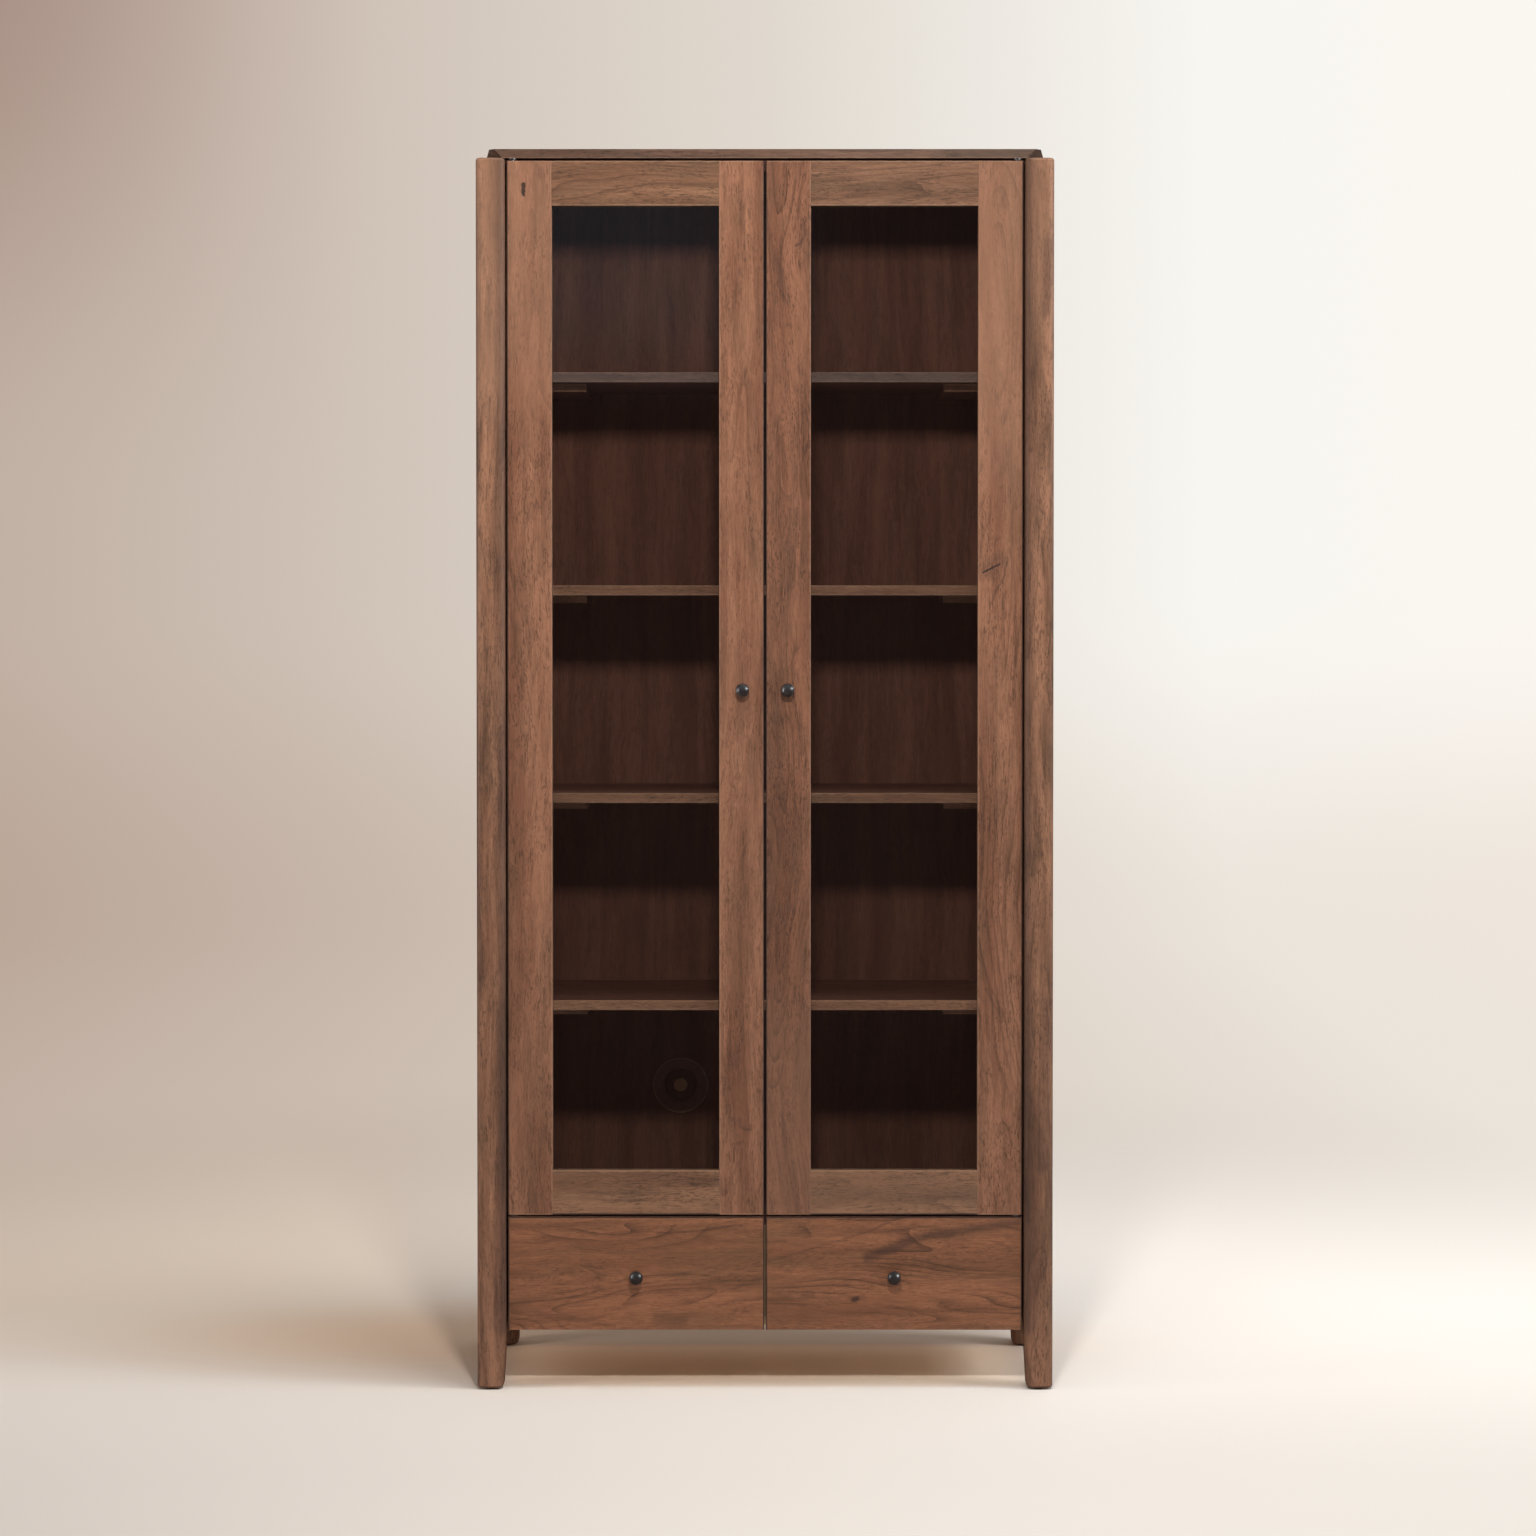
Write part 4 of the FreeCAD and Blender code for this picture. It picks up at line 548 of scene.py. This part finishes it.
def glass_material():
    """Clear float glass with the faintest uneven tint, which lets lamp light straight through."""
    material, tree, shader = new_material("float_glass")
    spots = tree.nodes.new("ShaderNodeTexCoord")
    surface = use_group(tree, FINE_SURFACE,
                        {"Vector": spots.outputs["Object"], "Base": (0.985, 0.995, 0.99, 1.0),
                         "Patch": (0.96, 0.975, 0.972, 1.0), "Rough": 0.0, "Spread": 0.0,
                         "Grain": 40.0})
    tree.links.new(surface.outputs["Color"], shader.inputs["Base Color"])
    shader.inputs["Roughness"].default_value = 0.0
    shader.inputs["IOR"].default_value = 1.5
    shader.inputs["Transmission Weight"].default_value = 1.0
    path = tree.nodes.new("ShaderNodeLightPath")
    clear = put(tree, "ShaderNodeBsdfTransparent", {"Color": (0.93, 0.95, 0.945, 1.0)})
    through = sums(tree, "MAXIMUM", path.outputs["Is Shadow Ray"], path.outputs["Is Diffuse Ray"])
    mixed = put(tree, "ShaderNodeMixShader",
                {0: through, 1: shader.outputs[0], 2: clear.outputs[0]})
    show(tree, mixed.outputs[0])
    return material


def finish_case():
    """The posts, the boards of the case and the shelves."""
    front_post = {"streaks": 0.65, "lines": 0.4, "arris": 0.004, "worn_and_lit": 0.3}
    rear_post = {"streaks": 0.6, "pores": 0.6, "arris": 0.004, "worn_and_lit": 0.3}
    wood("left_front_post", "post", "z", 1.3, (0.05, 0.16, 0), **front_post)
    wood("right_front_post", "post", "z", 2.9, (-0.09, 0.12, 0), **front_post)
    wood("left_rear_post", "post", "z", 3.4, (0.1, -0.14, 0), **rear_post)
    wood("right_rear_post", "post", "z", 4.2, (-0.1, -0.11, 0), **rear_post)
    # the top board's darker timber is painted shade
    wood("top_board", "top", "x", 5.5, (0, 0.03, -0.22), streaks=0.55, lines=0.35, pores=0.7,
         worn_and_lit=0.3)
    for side, seed in (("left", 6.1), ("right", 7.7)):
        wood(side + "_side_panel", "side", "z", seed, (0.18, 0.02, 0), streaks=0.55, lines=0.45,
             pores=0.6)
    wood("case_top", "inside", "x", 8.3, (0, 0, 0.2), streaks=0.4)
    wood("cabinet_floor", "inside", "x", 9.1, (0, 0, -0.2), streaks=0.4)
    wood("back_panel", "inside", "z", 10.6, (0.1, 0.3, 0), streaks=0.35, lines=0.2, pores=0.3)
    # shelf tops in the interior timber, front edges in lighter copies per shelf: painted light and
    # shade
    for number, edge in enumerate(("high_shelf", "shelf", "shelf", "low_shelf"), start=1):
        wood(f"shelf_{number}", "inside", "x", 11.0 + 1.7 * number, (0, 0.1, -0.25), streaks=0.4,
             front=edge)
    # batten fronts in a paler timber: paler wood, and painted light
    wood("shelf_battens", "inside", "y", 18.2, (0, 0, -0.2), streaks=0.4, front="batten")
    wood("drawer_bay_floor", "pale", "x", 45.0, (0, 0, 0.2), streaks=0.3)
    wood("drawer_divider", "pale", "y", 46.0, (0.2, 0, 0), streaks=0.3)
    for name in ("case_dowels", "drawer_runners"):
        wood(name, "pale", "y", 47.5, (0.2, 0, 0), streaks=0.3)


def finish_doors():
    """The doors' stiles and rails, and the beads that hold the glass."""
    wood("left_hinge_stile", "stile", "z", 20.4, (0.02, 0.14, 0), streaks=0.35, pores=0.6,
         worn_and_lit=FRAME_WEAR_AND_HIGHLIGHT)
    wood("left_meeting_stile", "stile", "z", 21.9, (-0.06, 0.12, 0), streaks=0.4, lines=0.4,
         pores=0.5, worn_and_lit=FRAME_WEAR_AND_HIGHLIGHT)
    wood("right_meeting_stile", "warm_stile", "z", 22.7, (0.05, 0.1, 0), lines=0.6, pores=0.6,
         worn_and_lit=FRAME_WEAR_AND_HIGHLIGHT, wander=0.1)
    wood("right_hinge_stile", "stile", "z", 23.8, (-0.05, 0.11, 0), streaks=0.45, lines=0.6,
         pores=0.6, worn_and_lit=FRAME_WEAR_AND_HIGHLIGHT)
    for side, seed, top_kind, low_streaks in (("left", 31.0, "rail", 0.5),
                                              ("right", 36.0, "dim_rail", 0.3)):
        wood(side + "_top_rail", top_kind, "x", seed + 0.4, (0, 0.12, 0.02), lines=0.5,
             pores=0.6, worn_and_lit=FRAME_WEAR_AND_HIGHLIGHT)
        wood(side + "_bottom_rail", "rail", "x", seed + 1.6, (0, 0.11, -0.04),
             streaks=low_streaks, lines=0.5, pores=0.6, worn_and_lit=FRAME_WEAR_AND_HIGHLIGHT)
        wood(side + "_glass_beads", "rail", "z", seed + 2.3, (0.1, 0.1, 0), streaks=0.4)


def finish_drawers():
    """The drawer fronts in the cabinet's timber, and the boxes in a pale one."""
    for side, seed, front_seed, pith in (("left", 31.0, 41.2, (0, 0.14, -0.03)),
                                         ("right", 36.0, 43.7, (0, 0.12, 0.05))):
        wood(side + "_drawer_front", "drawer", "x", front_seed, pith, streaks=0.42, lines=0.7,
             pores=0.35, wander=0.09)
        wood(side + "_drawer_sides", "pale", "y", seed + 3.1, (0.2, 0, 0), streaks=0.3)
        wood(side + "_drawer_back", "pale", "x", seed + 3.9, (0, 0.2, 0), streaks=0.3)
        wood(side + "_drawer_bottom", "pale", "x", seed + 4.4, (0, 0, 0.2), streaks=0.3)


def finish_metals():
    gunmetal = fine_material("gunmetal", tone(118, 119, 121), tone(84, 85, 88), metallic=0.9,
                             rough=0.34, spread=0.2, relief=0.2)
    steel = fine_material("zinc_steel", tone(176, 178, 180), tone(150, 150, 152), metallic=1.0,
                          rough=0.36, spread=0.25, relief=0.2)
    screws = fine_material("screw_steel", tone(166, 160, 146), tone(132, 126, 112), metallic=1.0,
                           spread=0.25, relief=0.2)
    brass = fine_material("brass", tone(206, 168, 96), tone(176, 136, 74), metallic=1.0,
                          rough=0.32, spread=0.2, relief=0.2)
    for side in ("left", "right"):
        for place in ("door", "drawer"):
            dress(f"{side}_{place}_knob", gunmetal)
            dress(f"{side}_{place}_knob_screw", screws)
        dress(side + "_strike_plate", screws)
        dress(side + "_pivot_bushes", brass)
    dress("shelf_pins", steel)
    dress("pivot_plates", steel)
    dress("hinge_screws", screws)
    dress("top_screws", screws)


def finish_plastics():
    # the ring's paler rim is a painted highlight
    dress("cable_port_ring",
          fine_material("port_ring", tone(96, 68, 56), tone(78, 55, 46), rough=0.45,
                        ring=(tone(130, 108, 98), "cable_port_ring", *PORT_RIM_HIGHLIGHT)))
    dress("cable_port_cap",
          fine_material("port_cap", tone(62, 44, 38), tone(50, 36, 32), rough=0.45,
                        ring=(tone(158, 124, 88), "cable_port_cap", *PORT_BOSS)))
    dress("foot_glides",
          fine_material("glide_plastic", tone(58, 54, 50), tone(44, 41, 38), rough=0.55))
    dress("door_catches",
          fine_material("catch_plastic", tone(88, 66, 52), tone(70, 52, 42), rough=0.5))


def finish_glass():
    pane = glass_material()
    dress("left_glass", pane)
    dress("right_glass", pane)


# ---------------------------------------------------------------- studio
STUDIO_RADIUS = 9.1
STUDIO_BEND = 1.6
STUDIO_HEIGHT = 7.0
BEND_STEPS = 12
# the wall's painted light from left to right, dim and warm on the left and bright on the right, as
# shares of the way across the middle of the studio
WALL_REACH = 3.2
WALL_LIGHT_GRADIENT = ((0.0, tone(192, 175, 162)), (0.2, tone(205, 191, 180)), (0.5, tone(224, 216, 206)),
              (0.78, tone(248, 246, 241)), (1.0, tone(251, 247, 241)))
PAPER = tone(224, 218, 213)
# painted light on the floor round the cabinet: a warm tint in its shadow, warm bounce round its
# feet and brighter bounce under it
WARM_SHADE = (1.0, 0.93, 0.85, 1.0)
WARM_BOUNCE_LIGHT = (0.97, 0.82, 0.69, 1.0)
UNDER_GLOW = (1.36, 1.3, 1.2, 1.0)
# painted shade on the wall's glow, low down and in the upper left corner
LOW_SHADE = (1.0, 0.95, 0.915, 1.0)
CORNER_SHADE = (1.0, 0.87, 0.86, 1.0)
MIRRORED_WARM = (0.07, 0.026, 0.02, 1.0)
MIRRORED_COOL = (0.24, 0.26, 0.31, 1.0)
MIRRORED_SHARE = 0.93


def make_backdrop():
    """A round studio: a pale floor that curves up into a wall on every side."""
    bm = bmesh.new()
    inner = STUDIO_RADIUS - STUDIO_BEND
    points = [(0.0, 0.0), (1.5, 0.0), (inner, 0.0)]
    for step in range(1, BEND_STEPS + 1):
        angle = math.pi / 2 * step / BEND_STEPS
        points.append((inner + STUDIO_BEND * math.sin(angle),
                       STUDIO_BEND * (1 - math.cos(angle))))
    points.append((STUDIO_RADIUS, STUDIO_HEIGHT))
    profile = [bm.verts.new((x, 0.0, z)) for x, z in points]
    edges = [bm.edges.new(pair) for pair in zip(profile, profile[1:])]
    bmesh.ops.spin(bm, geom=profile + edges, cent=(0, 0, 0), axis=(0, 0, 1),
                   angle=2 * math.pi, steps=96, use_merge=True)
    bmesh.ops.remove_doubles(bm, verts=bm.verts, dist=1e-4)
    bmesh.ops.recalc_face_normals(bm, faces=bm.faces)
    bmesh.ops.reverse_faces(bm, faces=[f for f in bm.faces if f.normal.z < -0.5])
    mesh = bpy.data.meshes.new("studio_backdrop")
    bm.to_mesh(mesh)
    bm.free()
    mesh.polygons.foreach_set("use_smooth", [True] * len(mesh.polygons))
    backdrop = bpy.data.objects.new("studio_backdrop", mesh)
    bpy.context.scene.collection.objects.link(backdrop)
    mesh.materials.append(backdrop_material())


def wall_painted_light(tree, across):
    """The wall's painted light, from a dim warm left to a bright right."""
    share = put(tree, "ShaderNodeMapRange",
                {"Value": across, "From Min": -WALL_REACH, "From Max": WALL_REACH,
                 "To Min": 0.0, "To Max": 1.0}).outputs[0]
    ramp = put(tree, "ShaderNodeValToRGB", {"Fac": share})
    stops = ramp.color_ramp.elements
    for stop, (place, colour) in zip(stops, (WALL_LIGHT_GRADIENT[0], WALL_LIGHT_GRADIENT[-1])):
        stop.position, stop.color = place, colour
    for place, colour in WALL_LIGHT_GRADIENT[1:-1]:
        stops.new(place).color = colour
    return ramp.outputs[0]


def paper_colour(tree, spots, wall, across, depth):
    """The floor: a paler copy of the wall's painted light, brighter behind and dimmer in front and
    to the left, with painted warm shade behind the cabinet on the left, warm bounce round its feet
    and brighter bounce under it."""
    paper = blend_colour(tree, 0.6, wall, PAPER)
    # painted light: brighter behind, dimmer in front and to the left
    shade = sums(tree, "MULTIPLY", ease(tree, depth, -0.9, 0.9, 0.9, 1.3),
                 ease(tree, across, -1.6, 0.2, 0.88, 1.0))
    paper = blend_colour(tree, 1.0, paper, grey(tree, shade), "MULTIPLY")
    # painted warm shade behind the cabinet on the left, warm bounce round its feet and brighter
    # bounce under it
    warm = sums(tree, "MULTIPLY", ease(tree, across, -1.0, 0.0, 1.0, 0.0),
                ease(tree, depth, -0.4, 0.6))
    paper = blend_colour(tree, warm, paper, WARM_SHADE, "MULTIPLY")
    footing = vectors(tree, "MULTIPLY_ADD", spots.outputs["Object"], (0.85, 1.9, 0.0),
                      (0.25, -0.38, 0.0))
    near = ease(tree, vectors(tree, "LENGTH", footing, output="Value"), 0.2, 0.9, 1.0, 0.0)
    paper = blend_colour(tree, near, paper, WARM_BOUNCE_LIGHT, "MULTIPLY")
    under = sums(tree, "MULTIPLY",
                 ease(tree, sums(tree, "ABSOLUTE", across), 0.38, 0.46, 1.0, 0.0),
                 ease(tree, sums(tree, "ABSOLUTE", depth), 0.13, 0.185, 1.0, 0.0))
    return blend_colour(tree, under, paper, UNDER_GLOW, "MULTIPLY")


def wall_glow(tree, wall, place, direct):
    """The wall's own light: full where it is seen, softer as a light on the cabinet, and
    dimmer low down and in the upper left."""
    across, depth, up = place
    strength = sums(tree, "MAXIMUM", direct, ease(tree, depth, -4.0, 5.0, 0.3, 1.0))
    strength = sums(tree, "MULTIPLY", strength, ease(tree, up, 0.0, 1.2, 0.89, 1.0))
    corner = sums(tree, "MULTIPLY", ease(tree, across, -3.3, -1.4, 1.0, 0.0),
                  ease(tree, up, 1.6, 4.0))
    strength = sums(tree, "MULTIPLY", strength, sums(tree, "MULTIPLY_ADD", corner, -0.28, 1.0))
    # painted shade: the glow warmer and dimmer low down and in the upper left
    low = ease(tree, up, 0.0, 1.4, 1.0, 0.0)
    shaded_wall = blend_colour(tree, low, wall, LOW_SHADE, "MULTIPLY")
    shaded_wall = blend_colour(tree, corner, shaded_wall, CORNER_SHADE, "MULTIPLY")
    return put(tree, "ShaderNodeEmission", {"Color": shaded_wall, "Strength": strength}).outputs[0]


def backdrop_material():
    """Studio paper: lit by the lamps near the cabinet, and glowing further out. Polished
    surfaces see it nearly dark, but for a cool band high up."""
    material, tree, shader = new_material("studio_paper")
    spots = tree.nodes.new("ShaderNodeTexCoord")
    split = put(tree, "ShaderNodeSeparateXYZ", {0: spots.outputs["Object"]})
    across, depth, up = split.outputs
    wall = wall_painted_light(tree, across)
    paper = paper_colour(tree, spots, wall, across, depth)
    tree.links.new(paper, shader.inputs["Base Color"])
    shader.inputs["Roughness"].default_value = 0.9
    shader.inputs["Specular IOR Level"].default_value = 0.1

    # what is seen straight, or straight through a pane, is not mirrored
    path = tree.nodes.new("ShaderNodeLightPath")
    odd = sums(tree, "MODULO", path.outputs["Ray Depth"], 2.0)
    even = sums(tree, "SUBTRACT", 1.0, odd, clamp=True)
    through = sums(tree, "MULTIPLY", path.outputs["Is Transmission Ray"], even)
    direct = sums(tree, "MAXIMUM", path.outputs["Is Camera Ray"], through)
    mirrored = sums(tree, "MAXIMUM", path.outputs["Is Glossy Ray"], path.outputs["Is Singular Ray"])
    mirrored = sums(tree, "SUBTRACT", mirrored, through, clamp=True)

    reach = vectors(tree, "LENGTH", spots.outputs["Object"], output="Value")
    glow = wall_glow(tree, wall, (across, depth, up), direct)
    seen = put(tree, "ShaderNodeMixShader",
               {0: ease(tree, reach, 0.95, 3.8), 1: shader.outputs[0], 2: glow})
    cool = sums(tree, "MULTIPLY", ease(tree, up, 2.0, 2.5),
                ease(tree, across, -0.5, 0.4, 0.5, 0.06))
    sheen = put(tree, "ShaderNodeEmission",
                {"Color": blend_colour(tree, cool, MIRRORED_WARM, MIRRORED_COOL),
                 "Strength": 1.0})
    dimmed = put(tree, "ShaderNodeMixShader",
                 {0: sums(tree, "MULTIPLY", mirrored, MIRRORED_SHARE), 1: seen.outputs[0],
                  2: sheen.outputs[0]})
    show(tree, dimmed.outputs[0])
    return material


def lamp(name, place, aim, size, power, colour, seen_in_gloss=True):
    """A soft box, which the camera never sees."""
    data = bpy.data.lights.new(name, "AREA")
    data.shape = "RECTANGLE"
    data.size, data.size_y = size
    data.energy = power
    data.color = colour
    light = bpy.data.objects.new(name, data)
    light.location = place
    light.rotation_euler = (Vector(aim) - Vector(place)).to_track_quat("-Z", "Y").to_euler()
    light.visible_camera = False
    light.visible_glossy = seen_in_gloss
    light.visible_transmission = seen_in_gloss
    bpy.context.scene.collection.objects.link(light)


def light_studio():
    lamp("key_lamp", place=(0.02, -2.35, 2.12), aim=(0.0, 0.0, 1.95), size=(0.2, 0.2),
         power=44.0, colour=(1.0, 0.96, 0.92), seen_in_gloss=False)
    lamp("side_box", place=(4.8, -1.4, 3.2), aim=(0.0, 0.0, 0.2), size=(1.8, 1.8),
         power=108.0, colour=(1.0, 0.99, 0.98))
    lamp("rim_strip", place=(-2.4, -0.9, 1.3), aim=(0.0, 0.0, 1.1), size=(0.6, 2.0),
         power=16.0, colour=(1.0, 0.95, 0.9))
    lamp("overhead_box", place=(0.7, -0.8, 4.6), aim=(0.0, -0.3, 0.0), size=(1.8, 1.8),
         power=108.0, colour=(0.97, 0.99, 1.0), seen_in_gloss=False)
    world = bpy.data.worlds.new("studio_air")
    world.use_nodes = True
    air = world.node_tree.nodes["Background"]
    air.inputs["Color"].default_value = (0.9, 0.88, 0.86, 1.0)
    air.inputs["Strength"].default_value = 0.2
    bpy.context.scene.world = world


LENS = 85.4
SENSOR = 36.0
VIEW_SHIFT = -0.0566
VIEW_FROM = (0.0048, -5.99, 1.255)
VIEW_TILT = 1.2  # degrees below level
VIEW_END = 200.0


def set_camera():
    data = bpy.data.cameras.new("viewpoint")
    data.lens = LENS
    data.sensor_width = SENSOR
    data.shift_y = VIEW_SHIFT
    data.clip_end = VIEW_END
    camera = bpy.data.objects.new("viewpoint", data)
    camera.location = VIEW_FROM
    camera.rotation_euler = (math.radians(90.0 - VIEW_TILT), 0.0, 0.0)
    bpy.context.scene.collection.objects.link(camera)
    bpy.context.scene.camera = camera


finish_case()
finish_doors()
finish_drawers()
finish_metals()
finish_plastics()
finish_glass()
make_backdrop()
light_studio()
set_camera()
bpy.context.scene.view_settings.view_transform = "Standard"
bpy.context.scene.view_settings.look = "None"
